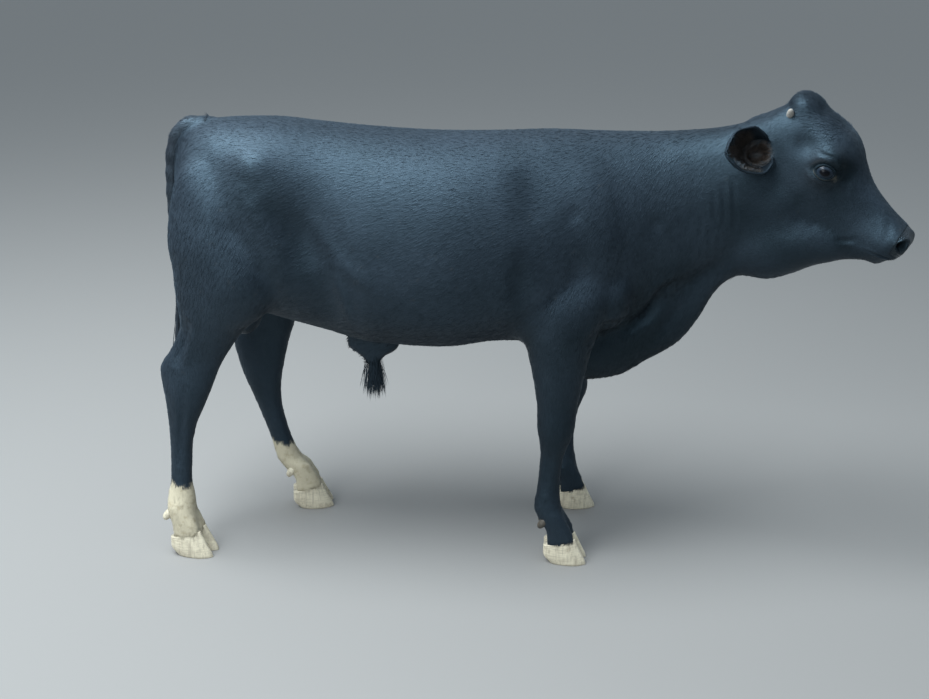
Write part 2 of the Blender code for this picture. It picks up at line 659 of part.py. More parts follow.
def flesh_masses():
    """Every loft and mass that the flesh is fused from."""
    masses = [
        upright_loft(BODY_RINGS, 0.03, 36),
        upright_loft(DEWLAP_RINGS, 0.025, 28),
        head_loft(0.02, 36),
        leg_loft(FORELEG_RINGS, -1),
        leg_loft(FORELEG_RINGS, 1, FAR_FORE_SHIFT),
        leg_loft(HINDLEG_RINGS, -1),
        leg_loft(FAR_HINDLEG_RINGS, 1),
        head_mass((-0.064, 0, 0.144), (0.050, 0.057, 0.036)),
        head_mass((0.272, 0, 0.006), (0.038, 0.034, 0.020)),
        ellipsoid((-0.235, 0, 0.545), (0.075, 0.028, 0.050)),
        ellipsoid((-0.236, 0, 0.510), (0.030, 0.022, 0.042)),
        ellipsoid((-0.565, 0, 0.625), (0.050, 0.048, 0.075)),
    ]
    for side in (-1, 1):
        masses.append(ellipsoid((0.270, side * 0.105, 0.840), (0.125, 0.078, 0.200)))
        masses.append(ellipsoid((0.190, side * 0.130, 0.690), (0.095, 0.062, 0.110)))
        masses.append(ellipsoid((0.350, side * 0.105, 0.715), (0.060, 0.055, 0.090)))
        masses.append(ellipsoid((-0.590, side * 0.105, 0.850), (0.130, 0.095, 0.210)))
        masses.append(head_mass(on_side((0.056, 0.060, 0.100), side), (0.046, 0.0350, 0.044)))
        masses.append(head_mass(on_side(EYE_PLACE, side), (0.0340, 0.0305, 0.0320)))
        masses.append(head_mass(on_side((0.020, 0.052, -0.055), side), (0.095, 0.036, 0.085)))
        masses.append(head_mass(on_side((0.300, 0.030, 0.080), side), (0.026, 0.026, 0.024)))
        masses.append(head_mass(on_side((-0.100, 0.058, -0.016), side), (0.030, 0.024, 0.030)))
    for name in FEET:
        masses += toe_shapes(name)
    return masses


def raised(places, normals, forms, frame):
    """How far each place moves along its normal: every form is a soft swelling or hollow about its place."""
    local = (places - frame.origin) @ frame.axes.T
    height = np.zeros(len(places))
    for place, reach, amount in forms:
        for side in (-1, 1):
            near = (local - on_side(place, side)) / np.asarray(reach)
            height += amount * np.exp(-(near**2).sum(1))
    return height


def model_forms(made):
    """Raises the muscle and bone forms on the flesh and presses the hollows into it."""
    count = len(made.data.vertices)
    places = np.empty(count * 3, np.float32)
    normals = np.empty(count * 3, np.float32)
    made.data.vertices.foreach_get("co", places)
    made.data.vertex_normals.foreach_get("vector", normals)
    places, normals = places.reshape(-1, 3).astype(float), normals.reshape(-1, 3).astype(float)
    height = raised(places, normals, BODY_FORMS, WORLD) + raised(places, normals, HEAD_FORMS, HEAD)
    made.data.vertices.foreach_set("co", (places + normals * height[:, None]).astype(np.float32).ravel())
    made.data.update()


def flesh_body():
    """One closed skin round all the masses, relaxed and thinned out to the triangles that it needs."""
    made = mesh_object("torso", joined(flesh_masses()))
    fuse = made.modifiers.new("fuse", "REMESH")
    fuse.mode = "VOXEL"
    fuse.voxel_size = FUSE_VOXEL
    relax = made.modifiers.new("relax", "SMOOTH")
    relax.factor = 0.5
    relax.iterations = FUSE_ROUNDS
    apply_modifiers(made)
    model_forms(made)
    mark_detail(made)
    thin = made.modifiers.new("thin", "DECIMATE")
    thin.ratio = FLESH_SHARE
    thin.vertex_group = "detail"
    thin.vertex_group_factor = DETAIL_STRENGTH
    apply_modifiers(made)
    made.vertex_groups.clear()
    return made


def mark_detail(made):
    """Weights that keep more triangles on the head and the feet than on the trunk."""
    count = len(made.data.vertices)
    places = np.empty(count * 3)
    made.data.vertices.foreach_get("co", places)
    places = places.reshape(-1, 3)
    local = (places - HEAD.origin) @ HEAD.axes.T
    weight = 1 - 0.40 * ramp(local[:, 0], -0.10, 0.04) * (places[:, 2] > 0.70)
    weight = np.minimum(weight, 1 - 0.20 * ramp(-places[:, 2], -0.50, -0.40))
    group = made.vertex_groups.new(name="detail")
    for level in np.unique(np.round(weight, 1)):
        chosen = np.flatnonzero(np.round(weight, 1) == level)
        group.add(chosen.tolist(), float(level), "REPLACE")


def part_flesh(flesh):
    """Cuts the features into the flesh and parts it into named pieces. Returns them by name."""
    pieces = {}
    for side in (-1, 1):
        boolean(flesh, ear_shape(side), "UNION")
        for cutter in (*eye_shapes(side), nostril_shape(side), mouth_shape(side)):
            boolean(flesh, cutter, "DIFFERENCE")
        boolean(flesh, horn_bud_shape(side, GAP), "DIFFERENCE")
    for name in FEET:
        boolean(flesh, coronet_cutter(name), "DIFFERENCE")
        for side in (-1, 1):
            boolean(flesh, dewclaw_shape(name, side, GAP), "DIFFERENCE")
    boolean(flesh, box_shape(WORLD, (-0.30, -0.05, 0.38), (-0.17, 0.05, SHEATH_END + GAP)), "DIFFERENCE")
    boolean(flesh, round_line(TAIL_LINE, 0.035, 12, (0.0, 1.0, 0.0), 2 * GAP), "DIFFERENCE")
    for side, name in ((-1, "ear_right"), (1, "ear_left")):
        pieces[name] = take_out(name, flesh, ear_frame(side), (0.036, -0.064, -0.020), (0.25, 0.064, 0.12))
    pieces["foreleg_right"] = take_out("foreleg_right", flesh, WORLD, (0.13, -0.40, -0.1), (0.45, -0.075, 0.565))
    pieces["foreleg_left"] = take_out("foreleg_left", flesh, WORLD, (0.13, 0.075, -0.1), (0.50, 0.40, 0.565))
    pieces["hindleg_right"] = take_out("hindleg_right", flesh, WORLD, (-0.90, -0.40, -0.1), (-0.48, -0.060, 0.600))
    pieces["hindleg_left"] = take_out("hindleg_left", flesh, WORLD, (-0.90, 0.060, -0.1), (-0.40, 0.40, 0.600))
    for side, word in ((-1, "right"), (1, "left")):
        name = "sock_" + word
        low, high = (-0.95, -0.5, -0.1), (0.1, 0.5, SOCK_TOP)
        pieces[name] = take_out(name, pieces["hindleg_" + word], WORLD, low, high)
        keep_largest(pieces["hindleg_" + word])
    neck_frame = Frame((0.40, 0, 0.85), 0, math.radians(8))
    front = take_out("neck", flesh, neck_frame, (0, -0.5, -0.8), (1.2, 0.5, 0.8))
    head_frame = Frame((0.700, -0.07, 0.95), HEAD_YAW * 0.8, math.radians(-6))
    pieces["head"] = take_out("head", front, head_frame, (0, -0.6, -0.8), (1.2, 0.6, 0.8))
    pieces["neck"] = keep_largest(front)
    pieces["torso"] = keep_largest(flesh)
    return pieces


def lock_shape(root, way, bend, length, width, rows=6):
    """One flat, tapering, bending lock of hair, as a closed strip."""
    way, bend = unit(way), np.asarray(bend, float)
    u = np.linspace(0, 1, rows)[:, None]
    line = np.asarray(root) + way * length * u + bend * length * u**2
    along = unit(np.gradient(line, axis=0))
    flat = unit(np.cross(along, np.cross(way, bend) + 1e-9))
    side = np.cross(along, flat)
    taper = (1 - 0.88 * u**1.5) * (0.75 + 0.5 * np.sin(np.pi * np.minimum(u * 1.4, 1)))
    half, thick = width * taper, width * 0.38 * taper
    rings = np.stack([line + side * half, line + flat * thick, line - side * half, line - flat * thick], 1)
    return tube(rings)


def hair_node(name, line, locks, length, width, spread, random):
    """A core of hair along a line, with locks fused into it that lie down its length."""
    rows = smooth_rows(line, 0.02)
    core = mesh_object(name, round_line(line, 0.02, 10, (0.0, 1.0, 0.0)))
    group = bpy.data.collections.new(name + "_locks")
    bpy.context.scene.collection.children.link(group)
    for index in range(locks):
        share = 0.08 + 0.62 * index / locks
        row = rows[int(share * (len(rows) - 1))]
        turn = index * 2.399963 + random.uniform(-0.3, 0.3)
        outward = np.array([math.cos(turn), math.sin(turn), 0.0])
        root = row[:3] + outward * row[3] * 0.35
        way = np.array([0.0, 0.0, -1.0]) + outward * spread
        bend = -outward * spread * 0.8 + np.array([0.0, 0.0, -0.05])
        size = length * random.uniform(0.8, 1.15)
        lock = mesh_object("lock", lock_shape(root, way, bend, size, width))
        bpy.context.scene.collection.objects.unlink(lock)
        group.objects.link(lock)
    union = core.modifiers.new("locks", "BOOLEAN")
    union.operation = "UNION"
    union.operand_type = "COLLECTION"
    union.collection = group
    union.solver = "EXACT"
    apply_modifiers(core)
    for lock in list(group.objects):
        bpy.data.objects.remove(lock)
    bpy.data.collections.remove(group)
    return keep_largest(core)


def cut_level(made, height, keep_below):
    """Cuts the object off square at a height and keeps one side of it."""
    low, high = ((-1, -1, height), (1, 1, 2)) if keep_below else ((-1, -1, -1), (1, 1, height))
    return keep_largest(boolean(made, box_shape(WORLD, low, high), "DIFFERENCE"))


def paint(made, name, colour, roughness, coat=0.0):
    """Gives the object its own named material."""
    material = bpy.data.materials.new(name)
    material.use_nodes = True
    shader = material.node_tree.nodes["Principled BSDF"]
    shader.inputs["Base Color"].default_value = (*colour, 1)
    shader.inputs["Roughness"].default_value = roughness
    shader.inputs["Coat Weight"].default_value = coat
    made.data.materials.clear()
    made.data.materials.append(material)


def main():
    for old in list(bpy.data.objects):
        bpy.data.objects.remove(old)
    random = np.random.default_rng(SEED)
    pieces = part_flesh(flesh_body())
    for name, part in pieces.items():
        colour = (0.74, 0.70, 0.64) if name.startswith("sock") else (0.016, 0.015, 0.016)
        paint(part, name + "_coat", colour, 0.55)
    for side, word in ((-1, "right"), (1, "left")):
        centre = HEAD.out(on_side(EYE_PLACE, side))
        ball = mesh_object("eye_" + word, ellipsoid(centre, (EYE_RADIUS,) * 3, rows=9, around=16))
        paint(ball, "eye_" + word + "_ball", (0.012, 0.010, 0.012), 0.08, 1.0)
        bud = mesh_object("horn_bud_" + word, horn_bud_shape(side))
        paint(bud, "horn_bud_" + word + "_horn", (0.62, 0.55, 0.44), 0.45)
    for name in FEET:
        for side, word in ((-1, "right"), (1, "left")):
            claw = mesh_object("claw_" + name + "_" + word, claw_shape(name, side))
            paint(claw, claw.name + "_horn", (0.66, 0.58, 0.45), 0.45)
            dewclaw = mesh_object("dewclaw_" + name + "_" + word, dewclaw_shape(name, side))
            paint(dewclaw, dewclaw.name + "_horn", (0.55, 0.48, 0.38), 0.5)
    tail = mesh_object("tail", round_line(TAIL_LINE, 0.035, 12, (0.0, 1.0, 0.0)))
    cut_level(tail, SWITCH_TOP + GAP, False)
    paint(tail, "tail_coat", (0.016, 0.015, 0.016), 0.55)
    switch = hair_node("tail_switch", SWITCH_LINE, 16, 0.11, 0.010, 0.18, random)
    cut_level(switch, SWITCH_TOP, True)
    paint(switch, "tail_switch_hair", (0.014, 0.013, 0.014), 0.5)
    tuft = hair_node("sheath_tuft", SHEATH_TUFT_LINE, 8, 0.055, 0.006, 0.10, random)
    cut_level(tuft, SHEATH_END, True)
    paint(tuft, "sheath_tuft_hair", (0.020, 0.017, 0.016), 0.5)
    for made in bpy.context.scene.objects:
        made.data.transform(Matrix.Translation(CENTRE_SHIFT))
        made.data.shade_smooth()
        print(made.name, len(made.data.polygons))


main()
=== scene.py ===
import math

import bmesh
import bpy
import numpy as np
from mathutils import Matrix


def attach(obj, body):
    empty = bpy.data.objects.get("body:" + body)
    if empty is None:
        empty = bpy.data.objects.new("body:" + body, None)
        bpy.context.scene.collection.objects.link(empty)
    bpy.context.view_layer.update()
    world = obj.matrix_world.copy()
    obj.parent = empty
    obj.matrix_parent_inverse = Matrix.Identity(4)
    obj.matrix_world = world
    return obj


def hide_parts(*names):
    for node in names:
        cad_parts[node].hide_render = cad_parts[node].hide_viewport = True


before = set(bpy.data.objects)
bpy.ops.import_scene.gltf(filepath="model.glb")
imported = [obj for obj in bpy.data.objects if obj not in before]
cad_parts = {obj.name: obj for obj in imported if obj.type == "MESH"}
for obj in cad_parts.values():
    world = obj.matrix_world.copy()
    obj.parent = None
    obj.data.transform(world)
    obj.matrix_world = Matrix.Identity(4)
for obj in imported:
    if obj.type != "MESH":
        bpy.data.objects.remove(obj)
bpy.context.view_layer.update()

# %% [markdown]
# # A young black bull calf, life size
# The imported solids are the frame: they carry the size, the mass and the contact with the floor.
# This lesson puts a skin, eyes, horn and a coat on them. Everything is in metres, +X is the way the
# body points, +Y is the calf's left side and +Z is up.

random = np.random.default_rng(11)

# %% [markdown]
# ## The measured calf
# A body is easiest to build from rings. Each row below is one ring: where it stands, how high its top
# and bottom are and how wide it is. The same rows made the solids, so the skin falls inside them with
# no fitting. They are measured about the withers, and every finished mesh then moves by one shift.

# %% Rings of the body, the dewlap and the head
CENTRE_SHIFT = np.array([-0.1365, 0.0125, 0.0])
BODY_RINGS = (
    (-0.716, 0.000, 1.000, 0.800, 0.050, 0.00, 2.0),
    (-0.700, 0.000, 1.050, 0.720, 0.105, 0.00, 2.0),
    (-0.660, 0.000, 1.092, 0.680, 0.150, 0.05, 2.1),
    (-0.590, 0.000, 1.108, 0.660, 0.185, 0.08, 2.3),
    (-0.480, 0.000, 1.111, 0.620, 0.208, 0.08, 2.4),
    (-0.360, 0.000, 1.103, 0.588, 0.212, 0.00, 2.3),
    (-0.220, 0.000, 1.093, 0.555, 0.236, -0.05, 2.2),
    (-0.060, 0.000, 1.087, 0.549, 0.246, -0.05, 2.2),
    (0.090, 0.000, 1.092, 0.565, 0.230, -0.05, 2.1),
    (0.210, 0.000, 1.099, 0.560, 0.200, -0.04, 2.0),
    (0.320, 0.000, 1.098, 0.560, 0.168, 0.00, 2.0),
    (0.430, -0.006, 1.100, 0.620, 0.135, 0.04, 2.0),
    (0.530, -0.020, 1.108, 0.700, 0.112, 0.05, 2.1),
    (0.610, -0.042, 1.122, 0.765, 0.098, 0.05, 2.1),
    (0.680, -0.068, 1.145, 0.800, 0.090, 0.05, 2.1),
    (0.735, -0.094, 1.160, 0.850, 0.075, 0.05, 2.0),
)
DEWLAP_RINGS = (
    (0.130, 0.000, 0.630, 0.562, 0.050),
    (0.220, 0.000, 0.640, 0.495, 0.072),
    (0.310, 0.000, 0.660, 0.450, 0.078),
    (0.390, -0.002, 0.700, 0.460, 0.072),
    (0.470, -0.010, 0.740, 0.508, 0.056),
    (0.545, -0.024, 0.800, 0.562, 0.042),
    (0.590, -0.038, 0.850, 0.630, 0.034),
    (0.620, -0.050, 0.860, 0.704, 0.036),
    (0.650, -0.064, 0.880, 0.744, 0.045),
    (0.680, -0.078, 0.930, 0.762, 0.062),
    (0.730, -0.098, 0.950, 0.760, 0.072),
    (0.780, -0.122, 0.950, 0.780, 0.072),
    (0.830, -0.148, 0.940, 0.811, 0.060),
    (0.880, -0.176, 0.920, 0.832, 0.038),
)
HEAD_CENTRE = (0.752, -0.088, 1.022)
HEAD_YAW = math.radians(-28)
HEAD_PITCH = math.radians(-38)
HEAD_RINGS = (
    (-0.150, 0.040, -0.060, 0.040, 0.00, 2.0),
    (-0.125, 0.086, -0.100, 0.064, 0.00, 2.0),
    (-0.098, 0.138, -0.124, 0.074, 0.02, 2.2),
    (-0.060, 0.166, -0.140, 0.080, 0.06, 2.3),
    (-0.010, 0.177, -0.146, 0.082, 0.12, 2.4),
    (0.040, 0.181, -0.144, 0.084, 0.18, 2.5),
    (0.080, 0.170, -0.136, 0.079, 0.18, 2.4),
    (0.120, 0.146, -0.122, 0.068, 0.10, 2.3),
    (0.165, 0.126, -0.104, 0.057, 0.04, 2.2),
    (0.210, 0.117, -0.077, 0.052, 0.02, 2.2),
    (0.250, 0.112, -0.042, 0.052, 0.04, 2.3),
    (0.285, 0.110, -0.005, 0.055, 0.08, 2.4),
    (0.310, 0.100, 0.018, 0.050, 0.08, 2.3),
    (0.326, 0.074, 0.044, 0.030, 0.00, 2.0),
)
print(len(BODY_RINGS), "body rings,", len(HEAD_RINGS), "head rings")

# %% Rings of the legs: height, x of the bone line, distance out, front, back, half width
FORELEG_RINGS = (
    (0.780, 0.270, 0.120, 0.075, 0.110, 0.062),
    (0.700, 0.262, 0.132, 0.085, 0.115, 0.068),
    (0.620, 0.245, 0.138, 0.080, 0.100, 0.062),
    (0.550, 0.238, 0.140, 0.070, 0.080, 0.054),
    (0.480, 0.237, 0.140, 0.060, 0.064, 0.047),
    (0.420, 0.236, 0.140, 0.052, 0.054, 0.041),
    (0.370, 0.236, 0.140, 0.050, 0.052, 0.042),
    (0.335, 0.234, 0.140, 0.042, 0.043, 0.038),
    (0.290, 0.230, 0.140, 0.031, 0.034, 0.028),
    (0.230, 0.226, 0.141, 0.029, 0.033, 0.026),
    (0.180, 0.225, 0.142, 0.032, 0.037, 0.029),
    (0.145, 0.228, 0.143, 0.036, 0.043, 0.034),
    (0.118, 0.236, 0.144, 0.034, 0.040, 0.032),
    (0.095, 0.245, 0.145, 0.028, 0.034, 0.028),
)
HINDLEG_RINGS = (
    (0.900, -0.600, 0.110, 0.110, 0.115, 0.085),
    (0.820, -0.590, 0.122, 0.140, 0.130, 0.092),
    (0.740, -0.580, 0.128, 0.150, 0.130, 0.090),
    (0.670, -0.595, 0.130, 0.125, 0.110, 0.078),
    (0.610, -0.625, 0.132, 0.085, 0.078, 0.060),
    (0.560, -0.645, 0.133, 0.070, 0.082, 0.048),
    (0.515, -0.662, 0.134, 0.060, 0.096, 0.042),
    (0.465, -0.678, 0.135, 0.056, 0.077, 0.042),
    (0.410, -0.692, 0.136, 0.047, 0.057, 0.038),
    (0.350, -0.705, 0.138, 0.034, 0.040, 0.031),
    (0.280, -0.712, 0.140, 0.028, 0.033, 0.026),
    (0.210, -0.716, 0.142, 0.028, 0.032, 0.027),
    (0.175, -0.718, 0.144, 0.033, 0.037, 0.030),
    (0.145, -0.718, 0.146, 0.037, 0.043, 0.034),
    (0.118, -0.714, 0.147, 0.034, 0.040, 0.032),
    (0.095, -0.707, 0.148, 0.028, 0.034, 0.028),
)
FAR_HINDLEG_RINGS = (
    (0.900, -0.600, 0.110, 0.110, 0.115, 0.085),
    (0.820, -0.575, 0.122, 0.135, 0.130, 0.092),
    (0.740, -0.548, 0.128, 0.132, 0.130, 0.090),
    (0.670, -0.530, 0.130, 0.108, 0.112, 0.078),
    (0.610, -0.522, 0.132, 0.086, 0.092, 0.060),
    (0.550, -0.524, 0.132, 0.072, 0.084, 0.048),
    (0.495, -0.532, 0.132, 0.062, 0.094, 0.043),
    (0.445, -0.540, 0.132, 0.058, 0.078, 0.042),
    (0.390, -0.545, 0.132, 0.052, 0.058, 0.039),
    (0.335, -0.538, 0.132, 0.040, 0.043, 0.032),
    (0.280, -0.524, 0.132, 0.033, 0.037, 0.028),
    (0.210, -0.503, 0.132, 0.030, 0.034, 0.027),
    (0.170, -0.490, 0.132, 0.033, 0.037, 0.030),
    (0.140, -0.476, 0.132, 0.037, 0.043, 0.034),
    (0.115, -0.461, 0.132, 0.034, 0.040, 0.032),
    (0.095, -0.448, 0.132, 0.028, 0.034, 0.028),
)
TOE_RINGS = (
    (0.140, -0.030, 0.026, 0.030, 0.0165),
    (0.115, -0.022, 0.034, 0.034, 0.0185),
    (0.090, -0.012, 0.038, 0.036, 0.0190),
    (0.065, -0.008, 0.041, 0.038, 0.0192),
    (0.040, -0.006, 0.042, 0.038, 0.0180),
)
FEET = {
    "fore_right": (0.268, -0.147, math.radians(-6)),
    "fore_left": (0.317, 0.165, math.radians(8)),
    "hind_right": (-0.698, -0.150, math.radians(-10)),
    "hind_left": (-0.424, 0.132, math.radians(8)),
}
FAR_FORE_SHIFT = (0.060, 0.020)
print(len(FORELEG_RINGS), "foreleg rings,", len(HINDLEG_RINGS), "hindleg rings")

# %% [markdown]
# ## Surfaces from rows of numbers
# Two rings that are far apart need a smooth line between them. A cubic curve through each column does
# that, with slopes that never overshoot, so a leg can't bulge between two measured heights. A ring is
# a rounded box worked out from sines and cosines, and a tube joins ring to ring and closes both ends.

# %% Smooth rows, frames and rings
def steady_slopes(knots, values):
    """Slopes at the knots: the harmonic mean of the two spans, or 0 where the column turns."""
    rises = np.diff(values, axis=0) / np.diff(knots)[:, None]
    product = rises[:-1] * rises[1:]
    total = np.where(product > 0, rises[:-1] + rises[1:], 1.0)
    slopes = np.zeros_like(values)
    slopes[1:-1] = np.where(product > 0, 2 * product / total, 0)
    slopes[0], slopes[-1] = rises[0], rises[-1]
    return slopes


def smooth_rows(rows, spacing):
    """The rows refined to one per spacing: on each span, the cubic that has the slopes at its two ends."""
    rows = np.asarray(rows, float)
    travel = np.linalg.norm(np.diff(rows[:, :3], axis=0), axis=1)
    knots = np.concatenate([[0], np.cumsum(travel)])
    at = np.linspace(0, knots[-1], max(2, int(round(knots[-1] / spacing)) + 1))
    slopes = steady_slopes(knots, rows)
    i = np.clip(np.searchsorted(knots, at, side="right") - 1, 0, len(knots) - 2)
    width = (knots[i + 1] - knots[i])[:, None]
    u = (at - knots[i])[:, None] / width
    return (
        rows[i] * (1 + 2 * u) * (1 - u) ** 2
        + rows[i + 1] * u**2 * (3 - 2 * u)
        + slopes[i] * width * u * (1 - u) ** 2
        + slopes[i + 1] * width * u**2 * (u - 1)
    )


def unit(vector):
    """The vectors divided by their lengths."""
    vector = np.asarray(vector, float)
    return vector / np.maximum(np.linalg.norm(vector, axis=-1, keepdims=True), 1e-12)


def signed_power(value, power):
    return np.sign(value) * np.abs(value) ** power


def ramp(value, low, high):
    """0 below low, 1 above high, and 3u² - 2u³ between."""
    u = np.clip((np.asarray(value, float) - low) / (high - low), 0, 1)
    return u * u * (3 - 2 * u)


def bell(value, middle, width):
    """exp(-((value - middle) / width)²): 1 at the middle and 0.37 at one width from it."""
    return np.exp(-(((value - middle) / width) ** 2))


def dot(a, b):
    return (a * b).sum(-1)


def rings_of(centres, sides, ups, half, above, below, fullness, square, around):
    """Rings of cosine and sine, each raised to 2/squareness. Fullness widens a ring at its top."""
    angle = np.arange(around) / around * 2 * math.pi
    power = 2 / square[:, None]
    across = signed_power(np.cos(angle)[None], power)
    along = signed_power(np.sin(angle)[None], power)
    across = across * half[:, None] * (1 + fullness[:, None] * along)
    along = along * np.where(along > 0, above[:, None], below[:, None])
    return centres[:, None] + sides[:, None] * across[..., None] + ups[:, None] * along[..., None]


def tube(rings):
    """Points and faces over rings of equal count, with a fan to the middle of each end ring."""
    count, around = rings.shape[:2]
    points = np.concatenate([rings.reshape(-1, 3), rings[:1].mean(1), rings[-1:].mean(1)])
    i, j = np.meshgrid(np.arange(count - 1), np.arange(around), indexing="ij")
    k = (j + 1) % around
    quads = np.stack([i * around + j, i * around + k, (i + 1) * around + k, (i + 1) * around + j], -1)
    first, last = count * around, count * around + 1
    base = (count - 1) * around
    faces = quads.reshape(-1, 4).tolist()
    faces += [[(a + 1) % around, a, first] for a in range(around)]
    faces += [[base + a, base + (a + 1) % around, last] for a in range(around)]
    return points, faces


class Frame:
    """A local frame: s forward, y to the left and t up, in that order."""

    def __init__(self, origin, yaw=0.0, pitch=0.0, axes=None):
        self.origin = np.array(origin, float)
        level = math.cos(pitch)
        forward = np.array([math.cos(yaw) * level, math.sin(yaw) * level, math.sin(pitch)])
        left = np.array([-math.sin(yaw), math.cos(yaw), 0.0])
        self.axes = np.stack([forward, left, np.cross(forward, left)]) if axes is None else axes

    def out(self, points):
        return np.asarray(points, float) @ self.axes + self.origin

    def turned(self, ways):
        return np.asarray(ways, float) @ self.axes

    def local(self, points):
        return (points - self.origin) @ self.axes.T


HEAD = Frame(HEAD_CENTRE, HEAD_YAW, HEAD_PITCH)
WORLD = Frame((0, 0, 0))
SIDES = ((-1, "right"), (1, "left"))


def on_side(place, side):
    """A place given for the left side, on the side that is asked for."""
    return np.array(place, float) * (1, side, 1)


print("head points along", np.round(HEAD.axes[0], 2))

# %% Lofts of the body, the head, the legs and round lines
def upright_loft(rows, spacing, around):
    """Upright rings square to their line on the ground plan."""
    rows = np.asarray(rows, float)
    if rows.shape[1] == 5:
        rows = np.hstack([rows, np.tile([0.0, 2.0], (len(rows), 1))])
    x, y, top, bottom, half, fullness, square = smooth_rows(rows, spacing).T
    way = unit(np.stack([np.gradient(x), np.gradient(y), np.zeros_like(x)], -1))
    sides = np.stack([-way[:, 1], way[:, 0], way[:, 2]], -1)
    ups = np.tile([0.0, 0.0, 1.0], (len(x), 1))
    tall = (top - bottom) / 2
    centres = np.stack([x, y, (top + bottom) / 2], -1)
    return tube(rings_of(centres, sides, ups, half, tall, tall, fullness, square, around))


def head_loft(spacing, around):
    """Rings square to the head's own line, from the nape to the nose."""
    s, top, bottom, half, fullness, square = smooth_rows(HEAD_RINGS, spacing).T
    tall = (top - bottom) / 2
    centres = HEAD.out(np.stack([s, np.zeros_like(s), (top + bottom) / 2], -1))
    sides = np.tile(HEAD.axes[1], (len(s), 1))
    ups = np.tile(HEAD.axes[2], (len(s), 1))
    return tube(rings_of(centres, sides, ups, half, tall, tall, fullness, square, around))


def leg_loft(rows, side, shift=(0.0, 0.0)):
    """Level rings down a leg. The shift grows from the elbow to the fetlock."""
    spacing, around = 0.015, 32
    z, x, y, front, back, half = smooth_rows(rows, spacing).T
    share = ramp(-z, -0.62, -0.35)
    centres = np.stack([x + shift[0] * share, side * (y + shift[1] * share), z], -1)
    sides = np.tile([0.0, 1.0, 0.0], (len(z), 1))
    ups = np.tile([1.0, 0.0, 0.0], (len(z), 1))
    flat = np.zeros_like(z)
    return tube(rings_of(centres, sides, ups, half, front, back, flat, flat + 2.1, around)[::-1])


def round_line(rows, spacing, around, first_up=(1.0, 0.0, 0.0)):
    """A round tube along a line of x, y, z and radius."""
    rows = smooth_rows(rows, spacing)
    centres, radius = rows[:, :3], rows[:, 3]
    way = unit(np.gradient(centres, axis=0))
    sides = unit(np.cross(way, first_up))
    ups = np.cross(sides, way)
    flat = np.zeros_like(radius)
    return tube(rings_of(centres, sides, ups, radius, radius, radius, flat, flat + 2, around)[:, ::-1])


def ellipsoid(centre, radii, axes=None):
    """An egg shape: latitude and longitude on a ball, stretched by three radii along three axes."""
    rows, around = 20, 32
    axes = np.eye(3) if axes is None else np.asarray(axes, float)
    lat = np.linspace(-math.pi / 2, math.pi / 2, rows + 2)[1:-1]
    lon = np.arange(around) / around * 2 * math.pi
    level = np.cos(lat)[:, None]
    height = np.repeat(np.sin(lat)[:, None], around, 1)
    ring = np.stack([level * np.cos(lon), level * np.sin(lon), height], -1)
    points, faces = tube(ring)
    points[-2], points[-1] = (0, 0, -1), (0, 0, 1)
    return points * np.asarray(radii) @ axes + np.asarray(centre), faces


def head_mass(place, radii):
    return ellipsoid(HEAD.out(place), radii, HEAD.axes)


def toe_shapes(name):
    """The two toes of one foot, down into the claws."""
    place = foot_frame(name)
    shapes = []
    for side in (-1, 1):
        z, u, front, back, half = smooth_rows(TOE_RINGS, 0.008).T
        centres = place.out(np.stack([u, np.full_like(u, side * (CLAW_CLEFT + 0.0185)), z], -1))
        sides = np.tile(place.axes[1], (len(z), 1))
        ups = np.tile(place.axes[0], (len(z), 1))
        flat = np.zeros_like(z)
        shapes.append(tube(rings_of(centres, sides, ups, half, front, back, flat, flat + 2.3, 24)[::-1]))
    return shapes


def foot_frame(name):
    x, y, heading = FEET[name]
    return Frame((x, y, 0), heading)


CLAW_CLEFT = 0.003
TAIL_ROOT_LINE = (
    (-0.610, 0.000, 1.076, 0.033),
    (-0.650, 0.000, 1.082, 0.032),
    (-0.686, 0.000, 1.074, 0.029),
    (-0.712, 0.000, 1.030, 0.022),
    (-0.722, 0.000, 0.985, 0.015),
)
print("a foreleg loft has", len(leg_loft(FORELEG_RINGS, 1)[0]), "points")

# %% [markdown]
# ## One skin over all the masses
# On the real animal one skin lies over many muscles. Lofts and eggs that overlap stand in for the
# muscles, and a voxel remesh wraps a single closed skin round all of them. A few rounds of smoothing
# melt the joints between them, as skin and fat do.

# %% Put the masses together
EYE_PLACE = (0.066, 0.0715, 0.086)
SIDE_MASSES = (
    ((0.270, 0.105, 0.840), (0.125, 0.078, 0.200)),
    ((0.190, 0.130, 0.690), (0.095, 0.062, 0.110)),
    ((0.350, 0.105, 0.715), (0.060, 0.055, 0.090)),
    ((-0.590, 0.105, 0.850), (0.130, 0.095, 0.210)),
)
HEAD_SIDE_MASSES = (
    ((0.056, 0.060, 0.100), (0.046, 0.0350, 0.044)),
    (EYE_PLACE, (0.0340, 0.0305, 0.0320)),
    ((0.020, 0.052, -0.055), (0.095, 0.036, 0.085)),
    ((0.300, 0.030, 0.080), (0.026, 0.026, 0.024)),
    ((-0.100, 0.058, -0.016), (0.030, 0.024, 0.030)),
)


